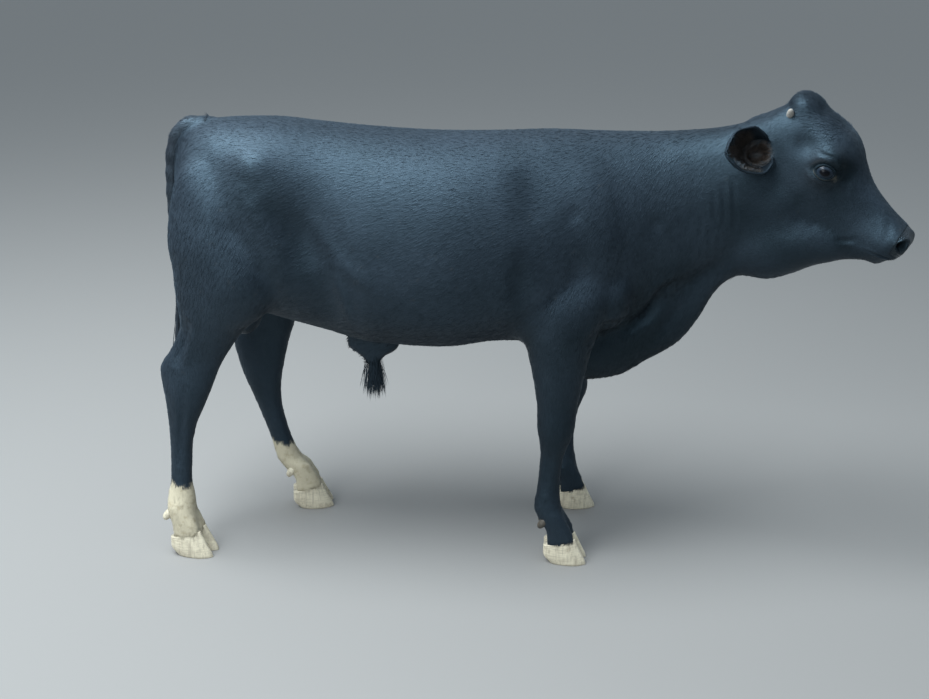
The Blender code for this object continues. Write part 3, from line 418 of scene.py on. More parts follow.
def flesh_masses():
    """Every loft and egg that the skin is wrapped round, the same as in the solids."""
    masses = [
        upright_loft(BODY_RINGS, 0.02, 64),
        upright_loft(DEWLAP_RINGS, 0.015, 48),
        head_loft(0.01, 64),
        leg_loft(FORELEG_RINGS, -1),
        leg_loft(FORELEG_RINGS, 1, FAR_FORE_SHIFT),
        leg_loft(HINDLEG_RINGS, -1),
        leg_loft(FAR_HINDLEG_RINGS, 1),
        head_mass((-0.064, 0, 0.144), (0.050, 0.057, 0.036)),
        head_mass((0.272, 0, 0.006), (0.038, 0.034, 0.020)),
        ellipsoid((-0.235, 0, 0.545), (0.075, 0.028, 0.050)),
        ellipsoid((-0.236, 0, 0.510), (0.030, 0.022, 0.042)),
        ellipsoid((-0.565, 0, 0.625), (0.050, 0.048, 0.075)),
        round_line(TAIL_ROOT_LINE, 0.012, 24, (0.0, 1.0, 0.0)),
    ]
    for side in (-1, 1):
        masses += [ellipsoid(on_side(place, side), radii) for place, radii in SIDE_MASSES]
        masses += [head_mass(on_side(place, side), radii) for place, radii in HEAD_SIDE_MASSES]
    for name in FEET:
        masses += toe_shapes(name)
    return masses


def joined(shapes):
    """Several shapes as one list of points and one of faces."""
    points, faces, base = [], [], 0
    for shape_points, shape_faces in shapes:
        points.append(shape_points)
        faces += [[i + base for i in face] for face in shape_faces]
        base += len(shape_points)
    return np.concatenate(points), faces


def mesh_object(name, shape):
    """A new object of points and closed faces, all turned outward."""
    mesh = bpy.data.meshes.new(name)
    mesh.from_pydata(np.asarray(shape[0]).tolist(), [], shape[1])
    turned = bmesh.new()
    turned.from_mesh(mesh)
    bmesh.ops.recalc_face_normals(turned, faces=turned.faces)
    turned.to_mesh(mesh)
    turned.free()
    made = bpy.data.objects.new(name, mesh)
    bpy.context.scene.collection.objects.link(made)
    return made


def apply_modifiers(made):
    """Puts the object's modifiers into its mesh."""
    graph = bpy.context.evaluated_depsgraph_get()
    mesh = bpy.data.meshes.new_from_object(made.evaluated_get(graph))
    made.modifiers.clear()
    old = made.data
    made.data = mesh
    bpy.data.meshes.remove(old)
    return made


FUSE_VOXEL = 0.0094
FUSE_ROUNDS = 7
skin = mesh_object("skin", joined(flesh_masses()))
fuse = skin.modifiers.new("fuse", "REMESH")
fuse.mode = "VOXEL"
fuse.voxel_size = FUSE_VOXEL
relax = skin.modifiers.new("relax", "SMOOTH")
relax.factor = 0.5
relax.iterations = FUSE_ROUNDS
apply_modifiers(skin)
print("wrapped skin:", len(skin.data.polygons), "faces")

# %% [markdown]
# ## Ears
# A calf's ear is a leaf rolled into a cup at its root. The shape is a grid: one number runs from root
# to tip and one from edge to edge, and each row is an arc whose bend eases towards the tip. An inner
# and an outer sheet close on each other at the rim. A Boolean union grows the ears out of the skin.

# %% Ear surface
EAR_ROOT = (-0.080, 0.067, -0.0124)
EAR_WAY = (-0.24, 0.95, 0.02)
EAR_FACE = (0.48, 0.10, 0.86)
EAR_LENGTH = 0.145
EAR_WIDTH = 0.0525
EAR_CURL = 0.010
EAR_INSET = 0.0012
HOLLOW_PLACE = np.array((0.020, 0.0, 0.030))
HOLLOW_REACH = np.array((0.026, 0.0230, 0.0240))
CUP_BEND, CUP_OPENS, CUP_ROOT = (math.radians(angle) for angle in (118, 56, 34))


def ear_frame(side):
    """The frame of one ear: out along it, across it and into its open face."""
    way = unit(HEAD.turned(on_side(EAR_WAY, side)))
    face = HEAD.turned(on_side(EAR_FACE, side))
    face = unit(face - way * (face @ way))
    return Frame(HEAD.out(on_side(EAR_ROOT, side)), axes=np.stack([way, np.cross(face, way), face]))


def cup(u):
    """Bend and radius of the cup at a share of the way from root to tip."""
    half = (EAR_WIDTH - EAR_INSET) * (0.58 + 0.42 * ramp(u, 0.0, 0.50))
    half = half * np.sqrt(1 - 0.99 * np.clip(1.6 * u - 0.6, 0, 1) ** 4)
    bend = CUP_BEND - CUP_OPENS * ramp(u, 0.0, 0.95)
    bend = bend + CUP_ROOT * (1 - ramp(u, 0.05, 0.35))
    return bend, half / np.sin(np.minimum(bend, math.radians(80)))


def ear_shape(side):
    """Arc of radius half width over sine of the bend, on each row; the outer sheet is thicker by the wall."""
    rows, columns = 34, 41
    place = ear_frame(side)
    way, across, face = place.axes
    u = np.sin(np.linspace(0, math.pi / 2, rows))[:, None]
    v = np.linspace(-1, 1, columns)[None]
    reach = (EAR_LENGTH - EAR_INSET) * u
    bend, radius = cup(u)
    turn = v * bend
    curl = EAR_CURL * u**2
    sheets = []
    for shell in (0.0, 1.0):
        wall = (0.0080 - 0.0040 * u) * (1 - 0.35 * np.abs(v) ** 3)
        ridge = 0.0010 * np.sin(turn * 9) * ramp(u, 0.15, 0.4) * (1 - u) * (1 - shell)
        r = radius + shell * wall + ridge
        line = place.origin + way * reach[..., None] + face * curl[..., None]
        aside, deep = r * np.sin(turn), radius - r * np.cos(turn)
        sheets.append(line + across * aside[..., None] + face * deep[..., None])
    rings = np.concatenate([sheets[0], sheets[1][:, ::-1]], 1)
    return tube(rings if side < 0 else rings[:, ::-1])


def boolean(made, shape, operation):
    """Joins a shape on to the object or cuts it away."""
    other = mesh_object("other", shape)
    change = made.modifiers.new(operation.lower(), "BOOLEAN")
    change.operation = operation
    change.solver = "MANIFOLD"
    change.object = other
    apply_modifiers(made)
    bpy.data.objects.remove(other)
    return made


def ear_hollow(side):
    """An egg that clears the root of the cup, where the way into the ear goes in."""
    place = ear_frame(side)
    return ellipsoid(place.out(HOLLOW_PLACE), HOLLOW_REACH, place.axes)


for side in (-1, 1):
    boolean(skin, ear_shape(side), "UNION")
    boolean(skin, ear_hollow(side), "DIFFERENCE")
print("skin with ears:", len(skin.data.polygons), "faces")

# %% [markdown]
# ## Finer mesh where the detail is
# Lids and lips need points about a millimetre apart, and the trunk doesn't. So only chosen faces are
# split: once over the head, again over the muzzle and round the eyes, and a third time along the lids,
# the nostrils and the mouth. Splitting leaves flat facets, so a shrink-free smoothing rounds them off.
# Where one mass is set on another, as at the ears, the jaw and the shoulder, a plain smoothing comes
# first and melts the step away.

# %% Read, write, split and smooth
def read(what, attribute):
    """One attribute of a mesh as an array of three columns."""
    values = np.empty(len(what) * 3, np.float32)
    what.foreach_get(attribute, values)
    return values.reshape(-1, 3).astype(float)


def places_of(made):
    return read(made.data.vertices, "co")


def normals_of(made):
    return read(made.data.vertex_normals, "vector")


def move_to(made, places):
    made.data.vertices.foreach_set("co", places.astype(np.float32).ravel())
    made.data.update()


def edges_of(made):
    edges = np.empty(len(made.data.edges) * 2, np.int32)
    made.data.edges.foreach_get("vertices", edges)
    return edges.reshape(-1, 2)


def neighbour_mean(values, edges, count):
    """For every point, the mean of the values at the other ends of its edges."""
    one, two = edges.T
    degree = np.maximum(np.bincount(one, minlength=count) + np.bincount(two, minlength=count), 1)
    total = [np.bincount(one, v[two], count) + np.bincount(two, v[one], count) for v in values.T]
    return np.stack(total, -1) / degree[:, None]


def soften(made, weight, rounds):
    """Taubin smoothing: a step towards the neighbours, then a larger one away, so nothing shrinks."""
    places, edges = places_of(made), edges_of(made)
    for step in (0.5, -0.53) * rounds:
        places = places + (neighbour_mean(places, edges, len(places)) - places) * step * weight[:, None]
    move_to(made, places)


def melt(made, weight, rounds):
    """Plain smoothing: half a step towards the neighbours, again and again."""
    places, edges = places_of(made), edges_of(made)
    for _ in range(rounds):
        places = places + (neighbour_mean(places, edges, len(places)) - places) * 0.5 * weight[:, None]
    move_to(made, places)


def split(made, chosen):
    """Splits the faces whose middle is chosen in two each way."""
    shape = bmesh.new()
    shape.from_mesh(made.data)
    middles = np.array([face.calc_center_median()[:] for face in shape.faces])
    picked = chosen(middles)
    edges = {edge for face, wanted in zip(shape.faces, picked) if wanted for edge in face.edges}
    bmesh.ops.subdivide_edges(shape, edges=list(edges), cuts=1, use_grid_fill=True)
    bmesh.ops.triangulate(shape, faces=[face for face in shape.faces if len(face.verts) > 4])
    shape.to_mesh(made.data)
    shape.free()


# %% Places on the head that need fine points
NOSTRIL_PLACE = (0.309, 0.032, 0.078)
MOUTH_LINE = (
    (0.200, 0.056, -0.014),
    (0.225, 0.056, -0.004),
    (0.250, 0.055, 0.009),
    (0.282, 0.053, 0.024),
    (0.308, 0.042, 0.036),
    (0.322, 0.020, 0.042),
    (0.326, 0.000, 0.043),
)


def from_line(local, line):
    """Each point's distance from a line of straight pieces, and how far along the line, from 0 to 1."""
    best = np.full(len(local), 9.0)
    share = np.zeros(len(local))
    line = np.asarray(line, float)
    for i, (start, end) in enumerate(zip(line[:-1], line[1:])):
        along = np.clip((local - start) @ (end - start) / ((end - start) @ (end - start)), 0, 1)
        far = np.linalg.norm(local - start - along[:, None] * (end - start), axis=1)
        share = np.where(far < best, (i + along) / (len(line) - 1), share)
        best = np.minimum(best, far)
    return best, share


def mirrored(local):
    """Head places with both sides folded on to the left one."""
    return np.stack([local[:, 0], np.abs(local[:, 1]), local[:, 2]], -1)


def on_head(places):
    local = HEAD.local(places)
    within = (local[:, 0] > -0.115) & (np.abs(local[:, 1]) < 0.13) & (local[:, 2] > -0.16)
    return within & (places[:, 2] > 0.735)


def near_features(places):
    local = mirrored(HEAD.local(places))
    eye = np.linalg.norm(local - EYE_PLACE, axis=1) < 0.046
    muzzle = (local[:, 0] > 0.262) & (local[:, 2] > -0.02)
    mouth = from_line(local, MOUTH_LINE)[0] < 0.014
    return eye | muzzle | mouth


def near_edges(places):
    local = mirrored(HEAD.local(places))
    eye = np.linalg.norm(local - EYE_PLACE, axis=1) < 0.037
    nostril = np.linalg.norm(local - NOSTRIL_PLACE, axis=1) < 0.026
    mouth = from_line(local, MOUTH_LINE)[0] < 0.006
    return eye | nostril | mouth


def in_ears(places):
    """Which places belong to an ear, as a distance along it, or 0 elsewhere."""
    along = np.zeros(len(places))
    for side in (-1, 1):
        local = ear_frame(side).local(places)
        u = np.clip(local[:, 0] / EAR_LENGTH, 0, 1)
        radius = cup(u)[1]
        away = np.hypot(local[:, 1], local[:, 2] - radius - EAR_CURL * u**2)
        inside = (local[:, 0] > 0.022) & (away < radius + 0.0125)
        along = np.where(inside, local[:, 0], along)
    return along


def ear_root_share(places):
    """1 where an ear grows out of the head, fading to 0 along the ear and away from it."""
    share = np.zeros(len(places))
    for side in (-1, 1):
        local = ear_frame(side).local(places)
        away = np.hypot(local[:, 1], local[:, 2] - 0.022)
        near = (1 - ramp(local[:, 0], 0.028, 0.050)) * ramp(local[:, 0], -0.030, -0.010)
        share = np.maximum(share, near * (1 - ramp(away, 0.036, 0.054)))
    return share


def off_ears(places):
    return (in_ears(places) == 0) & (ear_root_share(places) < 0.02)


def shoulder_share(places):
    """A bell over the top of each shoulder, where two masses meet."""
    near = (places * (1, 0, 1) + np.abs(places) * (0, 1, 0) - (0.270, 0.180, 0.980)) / (0.085, 0.100, 0.120)
    return np.exp(-((near**2).sum(1) ** 2))


def from_hollow(places, side):
    """How far places are from the middle of the hollow in an ear, where its wall is at 1."""
    return np.linalg.norm((ear_frame(side).local(places) - HOLLOW_PLACE) / HOLLOW_REACH, axis=1)


def hollow_rim_share(places):
    """A bell across the rim of the hollow in each ear."""
    share = np.zeros(len(places))
    for side in (-1, 1):
        share += bell(from_hollow(places, side), 1.0, 0.22)
    return share * (in_ears(places) > 0)


def jaw_share(places):
    """1 where the throat meets the cheek, fading to 0 round it."""
    local = mirrored(HEAD.local(places))
    return np.exp(-(((local - (0.070, 0.080, -0.105)) / (0.110, 0.060, 0.045)) ** 2).sum(1))


melt(skin, ear_root_share(places_of(skin)), 14)
melt(skin, jaw_share(places_of(skin)), 40)
melt(skin, shoulder_share(places_of(skin)), 60)
melt(skin, hollow_rim_share(places_of(skin)), 12)
for chosen, rounds in ((on_head, 5), (near_features, 3), (near_edges, 2)):
    split(skin, lambda places: chosen(places) & off_ears(places))
    soften(skin, (chosen(places_of(skin)) & off_ears(places_of(skin))).astype(float), rounds)
print("split skin:", len(skin.data.polygons), "faces")

# %% [markdown]
# ## Muscles, bones and folds
# Under a short coat every muscle shows. Each form is a soft swelling or hollow: a height that falls
# off as a bell about a place, added along the skin's normal. Long folds are the same bell about a
# line. The forms of the solids come first, and the finer ones of the real skin follow. A few of the
# first are gentler here, because the shine of a coat draws them hard.

# %% Swellings and hollows shared with the solids
BODY_FORMS = (
    ((0.280, 0.175, 0.930), (0.075, 0.080, 0.130), 0.002),
    ((0.150, 0.215, 0.980), (0.045, 0.080, 0.085), -0.008),
    ((0.175, 0.205, 0.700), (0.090, 0.070, 0.090), 0.013),
    ((0.270, 0.170, 0.780), (0.050, 0.060, 0.060), -0.007),
    ((0.365, 0.150, 0.715), (0.055, 0.060, 0.060), 0.009),
    ((0.440, 0.110, 0.800), (0.060, 0.060, 0.110), -0.006),
    ((-0.370, 0.220, 0.880), (0.070, 0.090, 0.100), -0.016),
    ((-0.330, 0.210, 0.690), (0.060, 0.080, 0.060), -0.006),
    ((-0.500, 0.190, 1.035), (0.045, 0.050, 0.035), 0.012),
    ((-0.590, 0.150, 1.010), (0.050, 0.050, 0.050), -0.008),
    ((-0.665, 0.105, 0.985), (0.035, 0.045, 0.045), 0.010),
    ((-0.600, 0.195, 0.890), (0.045, 0.050, 0.060), 0.007),
    ((-0.520, 0.215, 0.760), (0.070, 0.060, 0.090), 0.010),
    ((-0.640, 0.175, 0.760), (0.040, 0.060, 0.090), -0.006),
    ((-0.150, 0.240, 0.640), (0.200, 0.090, 0.060), 0.006),
)
HEAD_FORMS = (
    ((0.058, 0.088, 0.138), (0.030, 0.030, 0.022), 0.006),
    ((-0.008, 0.088, 0.104), (0.026, 0.030, 0.026), -0.008),
    ((0.110, 0.072, 0.070), (0.030, 0.030, 0.022), -0.004),
    ((0.108, 0.062, 0.114), (0.026, 0.022, 0.020), -0.005),
    ((0.030, 0.085, -0.060), (0.060, 0.040, 0.060), 0.004),
    ((0.150, 0.060, -0.050), (0.040, 0.035, 0.040), -0.002),
    ((0.275, 0.055, 0.045), (0.030, 0.030, 0.028), 0.003),
    ((0.215, 0.052, 0.070), (0.040, 0.030, 0.030), -0.003),
)


def raised(places, forms, place_frame):
    """The height of every bell, on both sides, summed."""
    local = place_frame.local(places)
    height = np.zeros(len(places))
    for place, reach, amount in forms:
        for side in (-1, 1):
            near = (local - on_side(place, side)) / np.asarray(reach)
            height += amount * np.exp(-(near**2).sum(1))
    return height


def raise_skin(height):
    """Moves the skin along its normals, leaving the ears alone."""
    places = places_of(skin)
    outer = in_ears(places) == 0
    move_to(skin, places + normals_of(skin) * (height * outer)[:, None])


places = places_of(skin)
raise_skin(raised(places, BODY_FORMS, WORLD) + raised(places, HEAD_FORMS, HEAD))
print("box of the skin:", np.round(places_of(skin).min(0), 3), np.round(places_of(skin).max(0), 3))

# %% Folds of the hide over the body
BODY_FOLDS = (
    (((0.530, 0.748), (0.488, 0.722), (0.456, 0.650), (0.405, 0.612)), 0.012, -0.0085, 0),
    (((0.300, 0.612), (0.330, 0.647), (0.400, 0.650)), 0.010, -0.0060, 0),
    (((0.560, 0.700), (0.520, 0.650), (0.480, 0.580)), 0.014, -0.0040, 0),
    (((0.486, 0.905), (0.490, 0.850), (0.503, 0.770)), 0.006, -0.0014, 0),
    (((0.516, 0.930), (0.522, 0.860), (0.538, 0.790)), 0.005, -0.0013, 0),
    (((0.538, 0.985), (0.548, 0.900), (0.562, 0.800)), 0.006, -0.0018, 0),
    (((0.556, 0.950), (0.570, 0.880), (0.580, 0.815)), 0.005, -0.0014, 0),
    (((0.578, 0.975), (0.590, 0.900), (0.602, 0.812)), 0.005, -0.0017, 0),
    (((0.596, 1.000), (0.608, 0.930), (0.616, 0.850)), 0.005, -0.0013, 0),
    (((0.618, 1.015), (0.628, 0.950), (0.640, 0.870)), 0.005, -0.0015, 0),
    (((0.115, 1.035), (0.149, 0.982), (0.195, 0.920)), 0.042, -0.0035, 0),
    (((0.236, 0.944), (0.250, 0.930), (0.262, 0.915)), 0.017, -0.0045, 0),
    (((0.440, 0.916), (0.450, 0.900), (0.462, 0.882)), 0.017, -0.0040, 0),
    (((0.124, 0.820), (0.129, 0.760), (0.134, 0.700)), 0.024, -0.0085, 0),
    (((-0.485, 0.960), (-0.395, 0.870), (-0.356, 0.783)), 0.042, -0.0075, 0),
    (((-0.379, 0.927), (-0.288, 0.803), (-0.210, 0.750)), 0.020, 0.0045, 0),
    (((-0.518, 0.970), (-0.440, 0.840), (-0.428, 0.721)), 0.022, 0.0050, 0),
    (((-0.310, 0.800), (-0.288, 0.718), (-0.275, 0.640)), 0.014, 0.0060, 0),
    (((-0.672, 0.640), (-0.691, 0.580), (-0.706, 0.535)), 0.010, -0.0070, -1),
    (((-0.582, 0.640), (-0.579, 0.570), (-0.589, 0.515)), 0.010, -0.0070, 1),
    (((-0.690, 0.470), (-0.702, 0.380), (-0.716, 0.260)), 0.007, -0.0035, -1),
    (((0.222, 0.310), (0.212, 0.200)), 0.007, -0.0030, -1),
    (((0.272, 0.310), (0.262, 0.200)), 0.007, -0.0030, 1),
)
HEAD_FOLDS = (
    (((0.030, 0.113), (0.058, 0.126), (0.092, 0.120)), 0.0045, -0.0022),
    (((0.098, 0.090), (0.122, 0.098), (0.138, 0.086)), 0.0050, -0.0018),
    (((0.145, 0.000), (0.120, -0.060), (0.070, -0.105)), 0.0130, -0.0006),
    (((0.200, -0.014), (0.217, 0.004), (0.226, 0.018)), 0.0060, -0.0015),
    (((0.240, 0.104), (0.268, 0.078), (0.276, 0.048)), 0.0080, -0.0010),
)


def fold(flat, facing, line, width, height):
    """A bell across a line, fading to its ends. A narrow crease has a low ridge on each side."""
    away, share = from_line(flat, line)
    across = away / width
    groove = np.exp(-(across**2)) - 0.45 * np.exp(-((across - 2.0) ** 2)) * (width < 0.013)
    fading = np.sqrt(np.clip(np.sin(math.pi * np.clip(share, 0.03, 0.97)), 0, 1))
    return height * groove * fading * facing


def folds_height(places, normals):
    """The folds of body and head, drawn on the sides of each."""
    height = np.zeros(len(places))
    sideways = np.clip(np.abs(normals[:, 1]) * 1.5 - 0.3, 0, 1)
    for line, width, amount, side in BODY_FOLDS:
        facing = sideways * (1.0 if side == 0 else (places[:, 1] * side > 0))
        height += fold(places[:, [0, 2]], facing, line, width, amount)
    local = mirrored(HEAD.local(places))
    cheek = np.clip(np.abs(normals @ HEAD.axes[1]) * 1.6 - 0.4, 0, 1) * on_head(places)
    for line, width, amount in HEAD_FOLDS:
        height += fold(local[:, [0, 2]], cheek, line, width, amount)
    return height


raise_skin(folds_height(places_of(skin), normals_of(skin)))
print(len(BODY_FOLDS), "body folds and", len(HEAD_FOLDS), "head folds")

# %% [markdown]
# ## Lids, nostrils and mouth
# The ball of the eye sits deep and the lids lie on it like a second sphere, with a rolled rim round an
# almond opening. Skin near the eye is moved on to that sphere, and skin inside the opening is tucked
# behind the ball. A nostril is a comma pressed into the muzzle with a raised wing round it. The mouth
# is a narrow groove with a roll of lip on each side.

# %% Sculpt the face
EYE_RADIUS = 0.0240
EYE_OPENING = (0.0238, 0.0186)
LID_THICKNESS = 0.0022
NOSTRIL_HOLLOW = np.array((0.307, 0.046, 0.078))


def eye_axes():
    """Along the opening, up across it and outward, on the left side of the head."""
    outward = unit(np.array((0.16, 0.97, 0.16)))
    along = np.array((0.90, 0.0, 0.43))
    along = unit(along - outward * (along @ outward))
    return np.stack([along, np.cross(along, outward), outward])


def opening_share(near):
    """1 on the edge of the almond opening, less inside it: a rounded diamond with a long front corner."""
    along, up = near[:, 0], near[:, 1]
    reach = EYE_OPENING[0] * np.where(along > 0, 1.12, 1.0)
    tall = EYE_OPENING[1] * np.where(up > 0, 1.04, 0.84)
    return ((np.abs(along) / reach) ** 1.7 + (np.abs(up) / tall) ** 1.9) ** (1 / 1.8)


def shape_lids(local):
    """Lids as a sphere round the ball, a rolled rim, one crease above it, and the inside tucked away."""
    near = (local - EYE_PLACE) @ eye_axes().T
    far = np.linalg.norm(near, axis=1)
    way = unit(near)
    share = opening_share(near)
    front = (far < 0.060) & (near[:, 2] > 0.002)
    rim = np.where(near[:, 1] > 0, 0.0014, 0.0007) * bell(share, 1.12, 0.13)
    crease = -0.0016 * bell(share, 1.34, 0.07) * np.where(near[:, 1] > 0, 1.0, 0.5)
    bag = 0.0012 * bell(share, 1.52, 0.10)
    lid = EYE_RADIUS + LID_THICKNESS + rim + crease + bag
    blend = 1 - ramp(share, 1.20, 1.85)
    reach = far + (lid - far) * blend
    tucked = EYE_RADIUS - 0.0040
    inner = tucked + (EYE_RADIUS + LID_THICKNESS - tucked) * ramp(share, 0.90, 1.0)
    reach = np.where(share < 1.0, inner, reach)
    moved = np.asarray(EYE_PLACE) + (way * reach[:, None]) @ eye_axes()
    return np.where(front[:, None], moved, local)


def nostril_axes():
    """The comma's long axis, its short axis and the way out of the muzzle, on the left side."""
    outward = unit(np.array((0.60, 0.78, 0.18)))
    along = np.array((-0.30, 0.10, 0.95))
    along = unit(along - outward * (along @ outward))
    return np.stack([along, np.cross(outward, along), outward])


def shape_nostrils(local):
    """A comma: an ellipse bent along its length, pressed in, with a raised wing outside it."""
    near = (local - NOSTRIL_HOLLOW) @ nostril_axes().T
    across = near[:, 1] - 28.0 * near[:, 0] ** 2 + 0.001
    share = np.sqrt((near[:, 0] / 0.0155) ** 2 + (across / 0.0105) ** 2)
    front = (np.abs(near[:, 2]) < 0.026) & (share < 3)
    hollow = -0.018 * (1 - ramp(share, 0.30, 1.08))
    wing = 0.0026 * bell(share, 1.42, 0.30)
    moved = local + ((hollow + wing) * front)[:, None] * nostril_axes()[2]
    moved[:, 0] -= (0.006 * (1 - ramp(share, 0.2, 0.9))) * front
    return moved


def shape_mouth(local, normals):
    """A groove along the mouth line with a soft lip on each side, and the split down the nose."""
    away, share = from_line(local, MOUTH_LINE)
    groove = -0.0045 * bell(away, 0.0, 0.0020) + 0.0010 * bell(away, 0.0062, 0.0040)
    middle = (local[:, 0] > 0.300) & (local[:, 2] > 0.045) & (local[:, 2] < 0.088)
    split_line = -0.0022 * bell(local[:, 1], 0.0, 0.0016) * middle
    return local + normals * (groove * ramp(share, 0.0, 0.22) + split_line)[:, None]


def sculpt_face():
    """All three on both sides: the right side is folded on to the left, shaped and folded back."""
    places, normals = places_of(skin), normals_of(skin)
    local = HEAD.local(places)
    turned = normals @ HEAD.axes.T
    side = np.where(local[:, 1] < 0, -1.0, 1.0)
    local[:, 1] *= side
    turned[:, 1] *= side
    local = shape_mouth(local, turned)
    local = shape_nostrils(local)
    local = shape_lids(local)
    local[:, 1] *= side
    chosen = on_head(places) & (in_ears(places) == 0)
    move_to(skin, np.where(chosen[:, None], HEAD.out(local), places))


sculpt_face()
print("face shaped:", len(skin.data.vertices), "points")

# %% [markdown]
# ## The skin lies under the coat
# The solids reach to the tips of the hair. The skin goes in by the depth of the coat, which is a few
# millimetres on the trunk and almost nothing on the face. The feet end at the sloping line where the
# hoof grows, so a box takes the rest away.

# %% Depth of the coat and the coronet
CORONET_HEIGHT = 0.062
CORONET_SLOPE = 0.26
COAT_DEPTH = 0.0026
FACE_DEPTH = 0.0010


def head_share(places):
    """1 on the head and 0 on the body, with a soft change behind the jaw."""
    local = HEAD.local(places)
    return ramp(local[:, 0], -0.14, -0.05) * ramp(local[:, 2], -0.22, -0.13)


def eye_share(places):
    """1 at the eyes, fading to 0 outside the lids."""
    away = np.linalg.norm(mirrored(HEAD.local(places)) - EYE_PLACE, axis=1)
    return 1 - ramp(away, 0.034, 0.046)


places = places_of(skin)
depth = COAT_DEPTH + (FACE_DEPTH - COAT_DEPTH) * head_share(places)
raise_skin(-depth * (1 - eye_share(places)))


def box_shape(place, low, high):
    """Six faces between two corners in a frame of its own."""
    spans = list(zip(low, high))
    corner = [(x, y, z) for z in spans[2] for y in spans[1] for x in spans[0]]
    faces = [[0, 2, 3, 1], [4, 5, 7, 6], [0, 1, 5, 4], [2, 6, 7, 3], [0, 4, 6, 2], [1, 3, 7, 5]]
    return place.out(np.array(corner)), faces


for name, (x, y, heading) in FEET.items():
    slope = Frame((x, y, CORONET_HEIGHT), heading, math.atan(CORONET_SLOPE))
    boolean(skin, box_shape(slope, (-0.09, -0.07, -0.16), (0.12, 0.07, 0.0003)), "DIFFERENCE")


def triangulate(made):
    """Splits every face into triangles."""
    shape = bmesh.new()
    shape.from_mesh(made.data)
    bmesh.ops.triangulate(shape, faces=shape.faces)
    shape.to_mesh(made.data)
    shape.free()


def closed_count(made):
    """The number of edges that don't have two faces, which is 0 on a closed skin."""
    edges = bmesh.new()
    edges.from_mesh(made.data)
    open_edges = sum(1 for edge in edges.edges if len(edge.link_faces) != 2)
    edges.free()
    return open_edges


triangulate(skin)
skin.data.shade_smooth()
print("skin:", len(skin.data.polygons), "triangles,", closed_count(skin), "open edges")

# %% [markdown]
# ## Eyes, horn buds, claws and tail
# These are pieces of their own on the real animal too: wet balls, horn that grows through the skin and
# a rope of small bones. Each is a grid of rings, so the ridges of growth are one sine along the rows.

# %% Eyes: a ball with a clear bulge in front
def finish_piece(name, shape):
    """A mesh object of measured places, moved to the frame's centre and riding on the body."""
    made = mesh_object(name, (np.asarray(shape[0]) + CENTRE_SHIFT, shape[1]))
    made.data.shade_smooth()
    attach(made, "root")
    return made


def add_map(made, name, values):
    """A UV map from one pair of numbers for each point."""
    layer = made.data.uv_layers.new(name=name)
    corner = np.empty(len(made.data.loops), np.int32)
    made.data.loops.foreach_get("vertex_index", corner)
    layer.data.foreach_set("uv", np.asarray(values, np.float32)[corner].ravel())


CORNEA_RISE = 0.0011
CORNEA_SPREAD = math.radians(32)


def eyeball(side, word):
    """A sphere of rings round the outward axis; within 32 degrees of it the front swells by a cosine."""
    axes = eye_axes() * (1, side, 1)
    polar = np.linspace(0, math.pi, 41)[1:-1]
    turn = np.arange(64) / 64 * 2 * math.pi
    bulge = CORNEA_RISE * np.clip(np.cos(np.clip(polar / CORNEA_SPREAD, 0, 1) * math.pi / 2), 0, 1)
    radius = (EYE_RADIUS - 0.0002 + bulge)[:, None]
    wide, tall = radius * np.sin(polar)[:, None], radius * np.cos(polar)[:, None]
    rings = np.stack([wide * np.cos(turn), wide * np.sin(turn), tall * np.ones_like(turn)], -1)
    points, faces = tube(rings)
    points[-2] = (0, 0, EYE_RADIUS + 0.0009)
    points[-1] = (0, 0, -EYE_RADIUS)
    made = finish_piece("eyeball_" + word, (HEAD.out(points @ axes + on_side(EYE_PLACE, side)), faces))
    add_map(made, "front", points[:, :2] / EYE_RADIUS)
    return made


EYES = {word: eyeball(side, word) for side, word in SIDES}
print({name: len(made.data.polygons) for name, made in EYES.items()})

# %% Horn buds, claws and dewclaws
HORN_BUD_PLACE = (-0.083, 0.058, 0.122)
HORN_BUD_RADIUS = 0.0086
HORN_BUD_LENGTH = 0.0165
CLAW_RINGS = (
    (0.00, 0.030, -0.050, 0.0180),
    (0.30, 0.040, -0.050, 0.0192),
    (0.65, 0.052, -0.044, 0.0200),
    (0.92, 0.061, -0.034, 0.0198),
    (1.00, 0.062, -0.031, 0.0190),
)
RIDGE_SPACING = 0.0048
RIDGE_HEIGHT = 0.00028


def horn_bud(side):
    """A short blunt cone with rings of growth."""
    root = on_side(HORN_BUD_PLACE, side)
    way = unit(on_side((-0.25, 0.75, 0.62), side))
    profile = ((-0.9, 0.80), (-0.3, 1.0), (0.3, 0.86), (0.8, 0.55), (1.0, 0.18))
    line = [(*(root + way * far * HORN_BUD_LENGTH), HORN_BUD_RADIUS * wide) for far, wide in profile]
    rows = smooth_rows(line, 0.0008)
    rows[:, 3] *= 1 + 0.010 * np.sin(np.arange(len(rows)) * 1.6)
    points, faces = round_line(rows, 0.0008, 28)
    return HEAD.out(points), faces


